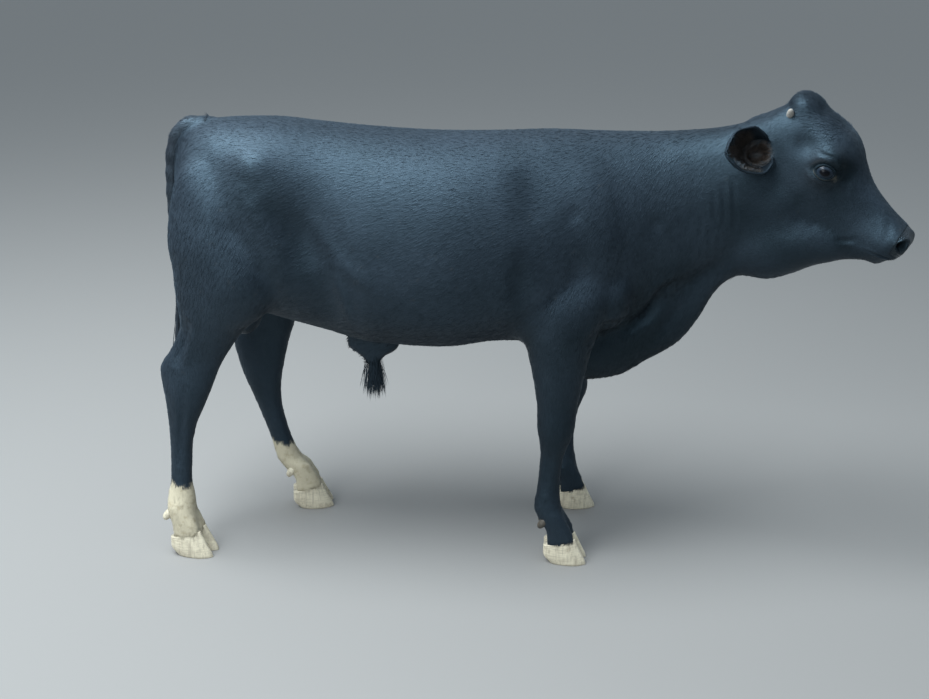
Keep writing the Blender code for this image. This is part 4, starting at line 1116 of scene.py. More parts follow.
def claw(name, side):
    """One claw: an oval that widens down to the sole, flat on the inner side, with ridges across it."""
    place = foot_frame(name)
    share, toe, heel, half = smooth_rows(CLAW_RINGS, 0.022).T
    angle = np.arange(56) / 56 * 2 * math.pi
    along = np.cos(angle)[None]
    across = signed_power(np.sin(angle), 0.75)[None]
    grown = RIDGE_HEIGHT * np.sin(share * CORONET_HEIGHT / RIDGE_SPACING * 2 * math.pi) * (1 - share) ** 0.3
    dish = -0.0012 * np.sin(math.pi * share)
    reach = ((toe - heel) / 2 + grown)[:, None]
    pinch = 1 - 0.30 * ramp(along, 0.35, 1.0)
    width = (half + grown)[:, None] * np.where(across > 0, 1.0, 0.86)
    forward = ((toe + heel) / 2)[:, None] + reach * along + dish[:, None] * ramp(along, 0.2, 1.0)
    out = CLAW_CLEFT + half[:, None] * 0.86 + width * across * pinch
    heel_fall = 1 - 0.22 * ramp(-along, 0.2, 1.0) * (1 - share[:, None]) * share[:, None] * 4
    height = (1 - share[:, None]) * (CORONET_HEIGHT + CORONET_SLOPE * forward) * heel_fall
    return tube(place.out(np.stack([forward, side * out, height], -1)))


def dewclaw(name, side):
    """A short blunt cone behind the fetlock, pointing down and back, with rings across it."""
    place = foot_frame(name)
    rows = smooth_rows(
        (
            (-0.038, side * 0.0190, 0.126, 0.0080),
            (-0.050, side * 0.0200, 0.116, 0.0105),
            (-0.059, side * 0.0205, 0.105, 0.0095),
            (-0.063, side * 0.0205, 0.097, 0.0055),
        ),
        0.0012,
    )
    rows[:, 3] *= 1 + 0.025 * np.sin(np.arange(len(rows)) * 1.7)
    points, faces = round_line(rows, 0.0012, 24, (0.0, 1.0, 0.0))
    return place.out(points), faces


HORNS, CLAWS, DEWCLAWS = {}, {}, {}
for side, word in SIDES:
    HORNS[word] = finish_piece("bud_" + word, horn_bud(side))
for name in FEET:
    for side, word in SIDES:
        CLAWS[name, word] = finish_piece(f"hoof_{name}_{word}", claw(name, side))
        DEWCLAWS[name, word] = finish_piece(f"rear_claw_{name}_{word}", dewclaw(name, side))
print(len(HORNS), "horn buds,", len(CLAWS), "claws,", len(DEWCLAWS), "dewclaws")

# %% Tail
TAIL_STEP = 0.006
TAIL_LINE = (
    (-0.630, 0.000, 1.080, 0.029),
    (-0.670, 0.000, 1.082, 0.029),
    (-0.704, 0.000, 1.056, 0.026),
    (-0.722, 0.000, 1.000, 0.022),
    (-0.728, 0.000, 0.900, 0.019),
    (-0.728, 0.004, 0.780, 0.0165),
    (-0.729, 0.012, 0.680, 0.0145),
    (-0.729, 0.020, 0.590, 0.0130),
    (-0.728, 0.028, 0.520, 0.0110),
)
VERTEBRA = 0.046


def tail_shape():
    """A tube along the tail line, inside its coat, with a slow swelling at each small bone."""
    rows = smooth_rows(TAIL_LINE, TAIL_STEP)
    far = np.arange(len(rows)) * TAIL_STEP
    rows[:, 3] -= COAT_DEPTH + 0.0006 * np.sin(far / VERTEBRA * 2 * math.pi)
    return round_line(rows, TAIL_STEP, 40, (0.0, 1.0, 0.0))


tail_points, tail_faces = tail_shape()
print("tail:", len(tail_faces), "faces")

# %% [markdown]
# ## An unwrap of the skin
# Every tuft will be painted from one small patch at its root, so the skin needs a flat map of its own
# shape. Blender's smart projection cuts it into islands that face alike, seen from no camera.

# %% Unwrap
def unwrap(made):
    """A UV map named OFBake made by smart projection."""
    made.data.uv_layers.new(name="OFBake")
    bpy.context.view_layer.objects.active = made
    made.select_set(True)
    bpy.ops.object.mode_set(mode="EDIT")
    bpy.ops.mesh.select_all(action="SELECT")
    bpy.ops.uv.smart_project(angle_limit=math.radians(66), island_margin=0.001)
    bpy.ops.object.mode_set(mode="OBJECT")
    made.select_set(False)


unwrap(skin)
tail = mesh_object("tail_skin", (tail_points, tail_faces))
tail.data.shade_smooth()
triangulate(tail)
unwrap(tail)
print("unwrapped", skin.name, "and", tail.name)

# %% [markdown]
# ## Markings
# The calf is black, with a dirty white sock on each hind leg, brown in the ears and round the eyes, and
# a bare wet nose. One function gives all of that at any place, so skin and hair always agree. It packs
# four numbers into a colour: red is white hair, green is brown, blue is tone and alpha is bare skin. The
# tone holds mottling and painted shade and highlight. The pale crescent in each ear is a painted
# highlight, and the brown on surfaces that face down is a painted reflection of light from below.

# %% Markings
SOCK_TOP = 0.196
SOCK_TEETH = 0.007
# Patches of tone on the face, folded on to the left side. Most are painted shade, darker round the eye and
# the brow, along the jaw, at the mouth corner and in the nostril, and painted highlight, lighter on the
# forehead, the cheek, the nose bridge and the nose. The dark patches round the eye are partly the coat's own.
FACE_PATCHES_AND_PAINTED_LIGHT = (
    ((0.104, 0.060, 0.116), (0.028, 0.030, 0.030), -0.42),
    ((0.060, 0.075, 0.128), (0.045, 0.030, 0.014), -0.30),
    ((0.120, 0.060, 0.060), (0.050, 0.030, 0.035), -0.16),
    ((0.072, 0.080, 0.001), (0.016, 0.030, 0.034), -0.20),
    ((-0.007, 0.080, 0.115), (0.018, 0.030, 0.018), -0.18),
    ((-0.034, 0.080, -0.087), (0.026, 0.030, 0.030), 0.12),
    ((0.170, 0.020, 0.110), (0.070, 0.030, 0.025), 0.18),
    ((0.205, 0.045, 0.060), (0.035, 0.030, 0.030), 0.14),
    ((0.000, 0.080, 0.080), (0.030, 0.030, 0.030), 0.12),
    ((0.040, 0.070, 0.030), (0.040, 0.030, 0.025), 0.16),
    ((-0.010, 0.040, 0.150), (0.050, 0.040, 0.030), 0.18),
    ((0.080, 0.070, -0.105), (0.110, 0.060, 0.040), -0.22),
    ((0.210, 0.050, -0.010), (0.030, 0.030, 0.014), -0.22),
    ((0.307, 0.046, 0.078), (0.014, 0.016, 0.018), -0.45),
)
# Painted shade and painted highlight on the body: darker on the brisket, the throat, the forelegs, the belly
# and the crest of the neck, lighter over the triceps, the upper foreleg, the front of the thigh and the ribs.
BODY_PAINTED_SHADE_AND_HIGHLIGHT = (
    ((0.440, 0.050, 0.580), (0.150, 0.120, 0.120), -0.46),
    ((0.600, 0.050, 0.780), (0.120, 0.080, 0.060), -0.18),
    ((0.250, 0.150, 0.360), (0.110, 0.120, 0.260), -0.32),
    ((-0.100, 0.100, 0.560), (0.400, 0.200, 0.070), -0.14),
    ((0.580, 0.060, 1.060), (0.160, 0.100, 0.080), -0.32),
    ((0.185, 0.200, 0.740), (0.035, 0.060, 0.050), 0.14),
    ((0.180, 0.200, 0.640), (0.035, 0.060, 0.040), 0.12),
    ((-0.560, 0.200, 0.820), (0.060, 0.080, 0.100), 0.10),
    ((-0.150, 0.240, 0.790), (0.120, 0.080, 0.070), 0.10),
)
SHADE_LINES = (
    (((-0.505, 0.975), (-0.420, 0.900), (-0.370, 0.800), (-0.345, 0.690)), 0.050, -0.18),
    (((0.115, 1.035), (0.149, 0.982), (0.195, 0.920)), 0.040, -0.12),
    (((0.122, 0.820), (0.129, 0.760), (0.134, 0.700), (0.150, 0.620)), 0.042, -0.20),
    (((0.270, 0.640), (0.340, 0.680), (0.430, 0.710), (0.520, 0.770)), 0.048, -0.20),
    (((0.640, 0.800), (0.620, 0.900), (0.640, 1.000)), 0.035, -0.12),
)


def bare_share(places):
    """1 on the wet nose, and 0.55 where the skin is bare but dull: in the nostrils and on the lids."""
    local = mirrored(HEAD.local(places))
    nose = ramp(local[:, 0] + 0.30 * (local[:, 2] - 0.07), 0.288, 0.300) * ramp(local[:, 2], 0.040, 0.050)
    near = (local - EYE_PLACE) @ eye_axes().T
    lid = (1 - ramp(opening_share(near), 1.06, 1.18)) * (np.linalg.norm(near, axis=1) < 0.036)
    comma = 1 - ramp(np.linalg.norm(local - NOSTRIL_HOLLOW, axis=1), 0.012, 0.017)
    bare = np.maximum(nose * (1 - 0.45 * comma), 0.55 * np.maximum(lid, comma))
    return bare * (head_share(places) > 0.5)


def lid_marks(local):
    """The pale wet edge of the lower lid, the thick brown upper lid and the dark ring of both."""
    near = (local - EYE_PLACE) @ eye_axes().T
    share = opening_share(near)
    here = np.linalg.norm(near, axis=1) < 0.036
    edge = bell(share, 1.07, 0.05) * ramp(-near[:, 1], -0.001, 0.006) * here
    upper = bell(share, 1.30, 0.24) * ramp(near[:, 1], 0.0, 0.008) * here
    ring = (1 - ramp(share, 1.20, 1.55)) * here * (1 - 0.8 * edge)
    return edge, upper, ring


def in_hollow(places):
    """1 in the hollow that leads into each ear."""
    share = np.zeros(len(places))
    for side in (-1, 1):
        share += 1 - ramp(from_hollow(places, side), 1.20, 1.50)
    return share


def ear_insides(places, normals):
    """1 inside the cup of an ear, 0 on its back and elsewhere."""
    share = np.zeros(len(places))
    for side in (-1, 1):
        place = ear_frame(side)
        local = place.local(places)
        here = (local[:, 0] > 0.012) & (np.linalg.norm(local[:, 1:], axis=1) < 0.10) & (local[:, 0] < 0.16)
        u = np.clip(local[:, 0] / EAR_LENGTH, 0, 1)
        bend, radius = cup(u)
        turn = np.abs(np.arctan2(local[:, 1], radius + EAR_CURL * u**2 - local[:, 2])) / bend
        rim = np.maximum(ramp(turn, 0.78, 0.92), ramp(u, 0.86, 0.94))
        share += ramp(normals @ place.axes[2], 0.0, 0.45) * here * (in_ears(places) > 0) * (1 - rim)
    return np.clip(share + in_hollow(places), 0, 1)


def painted_highlight_in_ear(places):
    """A painted highlight: a crescent of pale hair on the lower wall of the cup, where light falls from
    above.
    """
    share = np.zeros(len(places))
    for side in (-1, 1):
        local = ear_frame(side).local(places)
        low = -side * local[:, 1]
        share += np.exp(-(((local[:, 0] - 0.066) / 0.026) ** 2) - ((low - 0.041) / 0.012) ** 2)
    return share


def round_eye(local):
    """A bell about the eye, for head places folded on to the left side."""
    return bell(np.linalg.norm(local - EYE_PLACE, axis=1), 0.0, 0.040)


def markings(places, normals):
    """White, brown, tone and bare at each place; the tone holds painted shade and painted highlight as well
    as mottling.
    """
    x, y, z = places.T
    turn = np.arctan2(y - np.sign(y) * 0.14, x + np.where(y < 0, 0.712, 0.500))
    ragged = SOCK_TEETH * (np.sin(turn * 2 + 0.6) + 0.5 * np.sin(turn * 7) + 0.3 * np.sin(x * 900 + z * 500))
    white = (x < -0.36) * (1 - ramp(z - ragged, SOCK_TOP - 0.006, SOCK_TOP + 0.004))
    local = mirrored(HEAD.local(places))
    inside = ear_insides(places, normals)
    # Pale hair in the ears: a painted highlight on the lower wall of each cup.
    white = np.maximum(white, 0.42 * painted_highlight_in_ear(places) * inside)
    edge, upper, ring = lid_marks(local)
    corner = bell(np.linalg.norm(local - (0.096, 0.074, 0.090), axis=1), 0.0, 0.007)
    white = np.maximum(white, (0.08 * edge + 0.12 * corner) * (head_share(places) > 0.5))
    # Painted reflection: a little brown on surfaces that face down, for light thrown up from below.
    belly = ramp(-normals[:, 2], 0.3, 0.9) * (z < 0.75) * (z > 0.45)
    brown = np.clip(0.9 * inside + 0.10 * round_eye(local) + 0.20 * upper + 0.06 * belly, 0, 1)
    tone = 0.5 + 0.05 * np.sin(x * 13 + 2 * np.sin(z * 11)) * np.sin(z * 17 + y * 9)
    # Darker over the head and in a ring round each eye, and painted shade in the hollow of each ear.
    tone -= 0.17 * head_share(places) * (1 - inside) + 0.30 * ring + 0.06 * in_hollow(places)
    folded = np.stack([x, np.abs(y), z], -1)
    # Painted shade and painted highlight from the two tables, then painted shade along the shade lines, all
    # added to the tone.
    for near, table in ((local, FACE_PATCHES_AND_PAINTED_LIGHT), (folded, BODY_PAINTED_SHADE_AND_HIGHLIGHT)):
        for place, reach, amount in table:
            tone += amount * np.exp(-(((near - place) / reach) ** 2).sum(1))
    for line, width, amount in SHADE_LINES:
        away = from_line(folded[:, [0, 2]], line)[0]
        tone += amount * bell(away, 0.0, width) * (folded[:, 1] > 0.06)
    return np.stack([white, brown, tone, bare_share(places)], -1)


# %% [markdown]
# ## The lie of the coat
# Hair on the trunk runs back and down, on the legs down, on the neck down and back. It starts from a
# whorl on the forehead and spreads from there over the face. The field is written as a sum of these
# ways, laid flat on the skin and softened, so that tufts turn slowly from one region to the next.

# %% Regions and flow
WHORL = np.array((0.050, 0.0, 0.185))


def leg_share(places):
    """1 on the lower legs."""
    x, y, z = places.T
    fore = (x > 0.06) & (x < 0.44) & (np.abs(y) > 0.070)
    hind = (x < -0.36) & (np.abs(y) > 0.045)
    return (1 - ramp(z, 0.50, 0.66)) * (fore | hind)


def body_flow(places):
    """Back and down on the trunk, steeper on neck, shoulder and thigh, and down the legs."""
    x, z = places[:, 0], places[:, 2]
    steep = 0.34 + 0.40 * (1 - ramp(z, 0.70, 1.05)) + 1.50 * ramp(x, 0.12, 0.46)
    steep = steep + 2.2 * ramp(-x, 0.42, 0.62) * (1 - ramp(z, 0.84, 1.06))
    steep = steep + 1.2 * ramp(x, 0.12, 0.22) * (1 - ramp(x, 0.40, 0.50)) * (1 - ramp(z, 0.66, 0.92))
    steep = steep + 3.0 * ramp(-x, 0.66, 0.71)
    wave = 0.10 * np.sin(x * 21 + z * 13) + 0.07 * np.sin(x * 9 - z * 31)
    trunk = unit(np.stack([-np.ones_like(x), 0 * x, -steep + wave], -1))
    down = np.stack([-0.12 + 0.1 * wave, 0 * x, -np.ones_like(x)], -1)
    share = leg_share(places)[:, None]
    return trunk * (1 - share) + down * share


def head_flow(places, normals):
    """Away from the whorl on top, back and down over the cheek, and forward beside the nose."""
    local = HEAD.local(places)
    side = np.where(local[:, 1] < 0, -1.0, 1.0)
    away = unit(local - WHORL)
    top = ramp(normals @ HEAD.axes[2], 0.15, 0.75)[:, None]
    nose = ramp(local[:, 0], 0.11, 0.19)[:, None]
    cheek = np.stack([-0.55 + 0 * side, 0.1 * side, -0.80 + 0 * side], -1)
    beside = np.stack([0.80 + 0 * side, 0.0 * side, -0.45 + 0 * side], -1)
    return HEAD.turned(away * top + (cheek * (1 - nose) + beside * nose) * (1 - top))


def flattened(ways, normals):
    return unit(ways - normals * dot(ways, normals)[:, None])


def coat_flow(places, normals, edges):
    """The whole field: body, head and ears, laid on the skin and softened eight times."""
    head = head_share(places)[:, None]
    ways = unit(body_flow(places)) * (1 - head) + head_flow(places, normals) * head
    for side in (-1, 1):
        place = ear_frame(side)
        here = (in_ears(places) > 0) & (place.local(places)[:, 0] > 0)
        spread = np.clip(place.local(places)[:, 1:2] * 6, -0.5, 0.5) * place.axes[1]
        ways = np.where(here[:, None], place.axes[0] + spread, ways)
    ways = flattened(ways, normals)
    for _ in range(8):
        ways = flattened(ways + neighbour_mean(ways, edges, len(ways)), normals)
    return ways


def bend_along(places, normals, ways, edges):
    """How fast the skin turns along the flow: the turn over each edge, weighted to edges that follow it."""
    one, two = edges.T
    step = places[two] - places[one]
    length = np.maximum(np.linalg.norm(step, axis=1), 1e-6)
    turn = dot(normals[two] - normals[one], step) / length**2
    total, weight = np.zeros(len(places)), np.zeros(len(places))
    for near in (one, two):
        along = np.abs(dot(step, ways[near]) / length) ** 4 + 1e-3
        total += np.bincount(near, along * turn, len(places))
        weight += np.bincount(near, along, len(places))
    value = (total / np.maximum(weight, 1e-9))[:, None]
    for _ in range(3):
        value = (value + neighbour_mean(value, edges, len(value))) / 2
    return np.clip(value[:, 0], -40, 70)


# %% [markdown]
# ## How long, how wide and how close
# The coat is short: about two centimetres on the trunk, one on the legs and well under one on the face.
# It lies flat, so most tufts rise a millimetre or two. It is curliest on the poll between the horn buds,
# and a little longer under belly and brisket.

# %% Sizes of the tufts over the skin
def coat_sizes(places, normals):
    """Length, half width, lift and closeness of the tufts at every point."""
    local = mirrored(HEAD.local(places))
    head, leg = head_share(places), leg_share(places)
    inside = ear_insides(places, normals)
    ear = (in_ears(places) > 0).astype(float)
    poll = head * ramp(local[:, 2], 0.120, 0.150) * (1 - ramp(local[:, 0], -0.02, 0.05)) * (1 - ear)
    under = ramp(-normals[:, 2], 0.2, 0.8) * (1 - leg) * (1 - head)
    length = 0.0200 + 0.004 * under
    length = length + (0.0120 - length) * leg
    length = length + ((0.0085 - 0.0035 * ramp(local[:, 0], 0.12, 0.28)) - length) * head
    length = length + (0.0130 - length) * poll
    length = length + (0.0095 + 0.006 * inside - length) * ear
    half = 0.00115 + (0.00095 - 0.00115) * leg
    half = half + (0.00070 - half) * np.maximum(head, ear) * (1 - poll)
    length, half = length * (1 - 0.35 * round_eye(local)), half * (1 - 0.30 * round_eye(local))
    lift = 0.0017 - 0.0005 * leg - 0.0006 * head * (1 - poll) + 0.0019 * poll
    lift = lift + 0.0026 * inside + 0.0008 * under
    close = 1 / (length * half) * (1 - ramp(bare_share(places), 0.1, 0.5)) * (1 - 0.55 * inside)
    return np.stack([length, half, lift, close, poll, inside], -1)


def skin_fields(made):
    """Everything a root needs to know, one row for each point of the mesh."""
    places, normals, edges = places_of(made), normals_of(made), edges_of(made)
    ways = coat_flow(places, normals, edges)
    bend = bend_along(places, normals, ways, edges)
    sizes, marks = coat_sizes(places, normals), markings(places, normals)
    return np.hstack([places, normals, ways, bend[:, None], sizes, marks])


fields = skin_fields(skin)
PLACE, NORMAL, FLOW = slice(0, 3), slice(3, 6), slice(6, 9)
BEND, LENGTH, HALF, LIFT, CLOSE, POLL, INSIDE = range(9, 16)
MARK = slice(16, 20)
print("fields of", len(fields), "points; mean length", round(float(fields[:, LENGTH].mean()) * 1000, 1), "mm")

# %% [markdown]
# ## Roots and tufts
# Roots are spread over the triangles in proportion to area and closeness, evenly along one running
# total, so the cover has no gaps. Each tuft is a flat strip of three-sided rings that ends in a point,
# ten triangles where it is short, and follows the curve of the skin beneath it. A piece is one array.

# %% Sample roots
def corners_of(made):
    """The points of each triangle, and the UV of each corner."""
    points = np.empty(len(made.data.loops), np.int32)
    made.data.loops.foreach_get("vertex_index", points)
    flat = np.empty(len(made.data.loops) * 2, np.float32)
    made.data.uv_layers["OFBake"].data.foreach_get("uv", flat)
    return points.reshape(-1, 3), flat.reshape(-1, 3, 2)


def sample_roots(made, rows, closeness, count):
    """The field rows and UVs at evenly spread random roots."""
    points, flat = corners_of(made)
    a, b, c = (rows[points[:, i], PLACE] for i in range(3))
    area = np.linalg.norm(np.cross(b - a, c - a), axis=1) / 2
    total = np.cumsum(area * closeness[points].mean(1))
    at = (np.arange(count) + random.random(count)) / count * total[-1]
    chosen = np.clip(np.searchsorted(total, at), 0, len(points) - 1)
    one, two = random.random((2, count))
    over = one + two > 1
    one, two = np.where(over, 1 - one, one), np.where(over, 1 - two, two)
    share = np.stack([1 - one - two, one, two], -1)
    found = (rows[points[chosen]] * share[..., None]).sum(1)
    found[:, NORMAL] = unit(found[:, NORMAL])
    found[:, FLOW] = flattened(found[:, FLOW], found[:, NORMAL])
    return found, (flat[chosen] * share[..., None]).sum(1)


# %% Grow tufts
PATCH = 0.003
ROOT_SUNK = 0.0005


def tuft_rings(rows):
    """Where the rings stand along a tuft, and how wide each is."""
    u = np.linspace(0, 1, rows + 1)[:-1] if rows > 2 else np.array([0.0, 0.42])
    return u, 0.62 + 0.38 * np.sin(np.clip(u / 0.55, 0, 1) * math.pi / 2) - 0.55 * ramp(u, 0.5, 1.1)


def tuft_faces(rows):
    """Triangles of one tuft: a closed root, three sides between rings and three to the tip."""
    faces = [(2, 1, 0)]
    for ring in range(rows - 1):
        base = ring * 3
        for side in range(3):
            a, b = base + side, base + (side + 1) % 3
            faces += [(a, b, b + 3), (a, b + 3, a + 3)]
    base = (rows - 1) * 3
    return np.array(faces + [(base + side, base + (side + 1) % 3, rows * 3) for side in range(3)])


def grow(name, roots, flat, rows=2, curl=0.0, stray=0.12, drop=0.0, flatness=0.6):
    """
    Centre line: root + way × length × u - normal × bend × (length × u)² / 2 + normal × lift × u, plus a
    sideways sine for curl. Each ring is a triangle: half a width to each side, and a ridge on top.
    """
    count = len(roots)
    u, wide = tuft_rings(rows)
    u, wide = np.append(u, 1.0)[None, :, None], np.append(wide, 0.0)[None, :, None]
    normal, way = roots[:, None, NORMAL], roots[:, None, FLOW]
    side = np.cross(normal, way)
    swing = random.normal(0, stray, (count, 1, 1))
    way = unit(way + side * swing)
    side = np.cross(normal, way)
    length = roots[:, None, LENGTH, None] * random.uniform(0.75, 1.2, (count, 1, 1))
    half = roots[:, None, HALF, None] * random.uniform(0.8, 1.2, (count, 1, 1))
    lift = roots[:, None, LIFT, None] * random.uniform(0.3, 1.5, (count, 1, 1))
    bend = roots[:, None, BEND, None]
    phase = random.uniform(0, 2 * math.pi, (count, 1, 1))
    far = length * u
    line = roots[:, None, PLACE] - normal * ROOT_SUNK + way * far
    line = line - normal * bend * far**2 / 2 + normal * lift * u
    line = line + side * curl * length * (np.sin(phase + 5.0 * u) - np.sin(phase))
    line = line + normal * 0.6 * curl * length * np.abs(np.sin(phase + 4.0 * u) - np.sin(phase))
    line[..., 2] -= (drop * length * u**2)[..., 0]
    turned = unit(normal + way * bend * far)
    edge, ridge = side * half * wide, turned * half * flatness * wide
    around = np.stack([line + edge, line + ridge, line - edge], 2)
    facing = np.stack([turned + side * 0.30, turned + way * 0.04, turned - side * 0.30], 2)
    points = np.concatenate([around[:, :-1].reshape(count, -1, 3), line[:, -1:]], 1)
    normals = np.concatenate([facing[:, :-1].reshape(count, -1, 3), turned[:, -1:] + 0 * line[:, -1:]], 1)
    each = rows * 3 + 1
    across = np.append(np.tile([-1.0, 0.0, 1.0], rows), 0.0)
    along = np.append(np.repeat(u[0, :-1, 0], 3), 1.0)
    patch = flat[:, None] + PATCH * 0.5 * np.stack([across, along - 0.5], -1)[None]
    shift = random.uniform(0, 40, (count, 1))
    strands = np.stack([across[None] + shift, along[None] * length[:, 0] / 0.01], -1)
    tone = np.repeat(roots[:, None, MARK], each, 1)
    tone[..., 2] += random.normal(0, 0.05, (count, 1)) + 0.03 * along[None]
    tone[..., 0] = tone[..., 0] > random.uniform(0.3, 0.7, (count, 1))
    faces = tuft_faces(rows)[None] + (np.arange(count) * each)[:, None, None]
    return hair_mesh(name, points, faces, normals, patch, strands, tone)


def hair_mesh(name, points, faces, normals, patch, strands, tone):
    """One mesh from arrays, with custom normals near the skin's, two UV maps and the markings."""
    mesh = bpy.data.meshes.new(name)
    corner = faces.reshape(-1).astype(np.int32)
    mesh.vertices.add(points.reshape(-1, 3).shape[0])
    mesh.vertices.foreach_set("co", (points.reshape(-1, 3) + CENTRE_SHIFT).astype(np.float32).ravel())
    mesh.loops.add(len(corner))
    mesh.loops.foreach_set("vertex_index", corner)
    mesh.polygons.add(len(corner) // 3)
    mesh.polygons.foreach_set("loop_start", np.arange(0, len(corner), 3, dtype=np.int32))
    mesh.update(calc_edges=True)
    for title, values in (("OFBake", patch), ("strands", strands)):
        layer = mesh.uv_layers.new(name=title)
        layer.data.foreach_set("uv", values.reshape(-1, 2)[corner].astype(np.float32).ravel())
    mark(mesh, tone.reshape(-1, 4))
    mesh.shade_smooth()
    mesh.normals_split_custom_set_from_vertices(unit(normals.reshape(-1, 3)).tolist())
    made = bpy.data.objects.new(name, mesh)
    bpy.context.scene.collection.objects.link(made)
    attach(made, "root")
    return made


def mark(mesh, tone):
    """The markings as a colour attribute on the points."""
    layer = mesh.color_attributes.new("marking", "FLOAT_COLOR", "POINT")
    layer.data.foreach_set("color", np.clip(tone, 0, 1).astype(np.float32).ravel())


mark(skin.data, fields[:, MARK])
print("one plain tuft has", len(tuft_faces(2)), "triangles")

# %% The coat in layers
LAYERS = 6
TUFTS_A_LAYER = 19500
roots, flat = sample_roots(skin, fields, fields[:, CLOSE], LAYERS * TUFTS_A_LAYER)
order = random.permutation(len(roots))
COAT = []
for layer in range(LAYERS):
    chosen = order[layer::LAYERS]
    COAT.append(grow(f"coat_layer_{layer + 1}", roots[chosen], flat[chosen]))
print(len(COAT), "layers of", len(chosen), "tufts")

# %% Curly hair on the poll, and long hair in the ears
POLL_TUFTS, EAR_TUFTS, SHEATH_LOCKS, FRINGE_TUFTS, TAIL_TUFTS, SWITCH_LOCKS = 3400, 3400, 300, 3200, 5200, 700


def thicker(roots, length, half, lift):
    """The same roots with other sizes."""
    changed = roots.copy()
    changed[:, LENGTH] = length
    changed[:, HALF] = half
    changed[:, LIFT] = lift
    return changed


poll_roots, poll_flat = sample_roots(skin, fields, fields[:, POLL], POLL_TUFTS)
poll_roots = thicker(poll_roots, 0.014, 0.00055, 0.0032)
POLL_HAIR = grow("poll_hair", poll_roots, poll_flat, rows=5, curl=0.07, stray=0.4)
ear_roots, ear_flat = sample_roots(skin, fields, fields[:, INSIDE], EAR_TUFTS)
ear_roots = thicker(ear_roots, 0.020, 0.00055, 0.007)
EAR_HAIR = grow("ear_hair", ear_roots, ear_flat, rows=4, curl=0.05, stray=0.35)

# %% Hair of the sheath and round the coronets
def hang_from(rows, middle, spread):
    """Roots that hang straight down round an upright axis, leaning out by the spread."""
    outward = rows[:, PLACE] - np.array((*middle, 0.0))
    outward[:, 2] = 0
    rows[:, NORMAL] = unit(outward)
    rows[:, FLOW] = unit(rows[:, NORMAL] * spread + np.array((0.0, 0.0, -1.0)))
    rows[:, BEND] = 0


x, y, z = fields[:, PLACE].T
sheath = np.exp(-(((x + 0.232) / 0.014) ** 2) - ((z - 0.478) / 0.014) ** 2) * (np.abs(y) < 0.03)
sheath_roots, sheath_flat = sample_roots(skin, fields, sheath + 1e-9, SHEATH_LOCKS)
sheath_roots = thicker(sheath_roots, 0.058, 0.0010, 0.004)
hang_from(sheath_roots, (-0.236, 0.0), 0.05)
SHEATH_HAIR = grow("sheath_hair", sheath_roots, sheath_flat, rows=5, curl=0.03, stray=0.25, drop=0.5)
coronet = np.zeros(len(fields))
for name in FEET:
    near = foot_frame(name).local(fields[:, PLACE])
    above = near[:, 2] - CORONET_HEIGHT - CORONET_SLOPE * near[:, 0]
    here = (np.linalg.norm(near[:, :2], axis=1) < 0.085) & (fields[:, NORMAL][:, 2] > -0.75)
    coronet += here * bell(above, 0.004, 0.005)
fringe_roots, fringe_flat = sample_roots(skin, fields, coronet + 1e-12, FRINGE_TUFTS)
fringe_roots = thicker(fringe_roots, 0.0125, 0.0008, 0.0016)
fringe_roots[:, BEND] = 0
CORONET_HAIR = grow("coronet_hair", fringe_roots, fringe_flat, rows=3, stray=0.2, drop=0.15)
print("long hair:", len(poll_roots), "poll,", len(ear_roots), "ear,", len(sheath_roots), "sheath tufts")

# %% Coat and switch of the tail
def tail_fields(made):
    """The same columns as on the skin, with the flow straight down the tail."""
    places, normals = places_of(made), normals_of(made)
    ways = flattened(np.tile((-0.15, 0.0, -1.0), (len(places), 1)), normals)
    top = ramp(places[:, 2], 1.04, 1.08)[:, None]
    ways = flattened(ways * (1 - top) + np.array((-1.0, 0, -0.1)) * top, normals)
    size = np.tile((0.018, 0.0011, 0.0012, 1.0, 0.0, 0.0), (len(places), 1))
    tone = np.tile((0.0, 0.05, 0.5, 0.0), (len(places), 1))
    bend = np.zeros((len(places), 1))
    return np.hstack([places, normals, ways, bend, size, tone])


tail_rows = tail_fields(tail)
mark(tail.data, tail_rows[:, MARK])
tail_roots, tail_flat = sample_roots(tail, tail_rows, tail_rows[:, CLOSE], TAIL_TUFTS)
TAIL_COAT = grow("tail_coat", tail_roots, tail_flat)
low = np.clip(0.70 - tail_rows[:, 2], 0, 0.18) * (tail_rows[:, 5] > -0.6) + 1e-9
switch_roots, switch_flat = sample_roots(tail, tail_rows, low, SWITCH_LOCKS)
long_enough = np.clip(switch_roots[:, 2] - 0.36, 0.10, 0.22)
switch_roots = thicker(switch_roots, long_enough, 0.0011, 0.008)
hang_from(switch_roots, (-0.7285, 0.020), 0.02)
SWITCH = grow("tail_switch_hair", switch_roots, switch_flat, rows=9, curl=0.010, stray=0.05, flatness=0.7)
print("tail:", len(tail_roots), "tufts and", len(switch_roots), "long locks")

# %% [markdown]
# ## The finished skin and tail
# The skin stands for every node of flesh and for both socks, which are only its white ends. It moves to
# the frame's centre last of all, because everything above is worked out about the withers.

# %% Place the skin and the tail
for made in (skin, tail):
    move_to(made, places_of(made) + CENTRE_SHIFT)
    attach(made, "root")
FLESH = ["torso", "neck", "head"]
FLESH += [part + "_" + word for part in ("ear", "foreleg", "hindleg", "sock") for word in ("right", "left")]
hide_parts(*FLESH)


def stands_for(node):
    """Hides a node that a new piece stands in for."""
    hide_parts(node)


stands_for("tail")
stands_for("tail_switch")
stands_for("sheath_tuft")
for side, word in SIDES:
    stands_for("eye_" + word)
    stands_for("horn_bud_" + word)
for (foot, word), made in CLAWS.items():
    stands_for(f"claw_{foot}_{word}")
for (foot, word), made in DEWCLAWS.items():
    stands_for(f"dewclaw_{foot}_{word}")
print("nodes replaced:", len(FLESH) + 3 + 4 + 16)

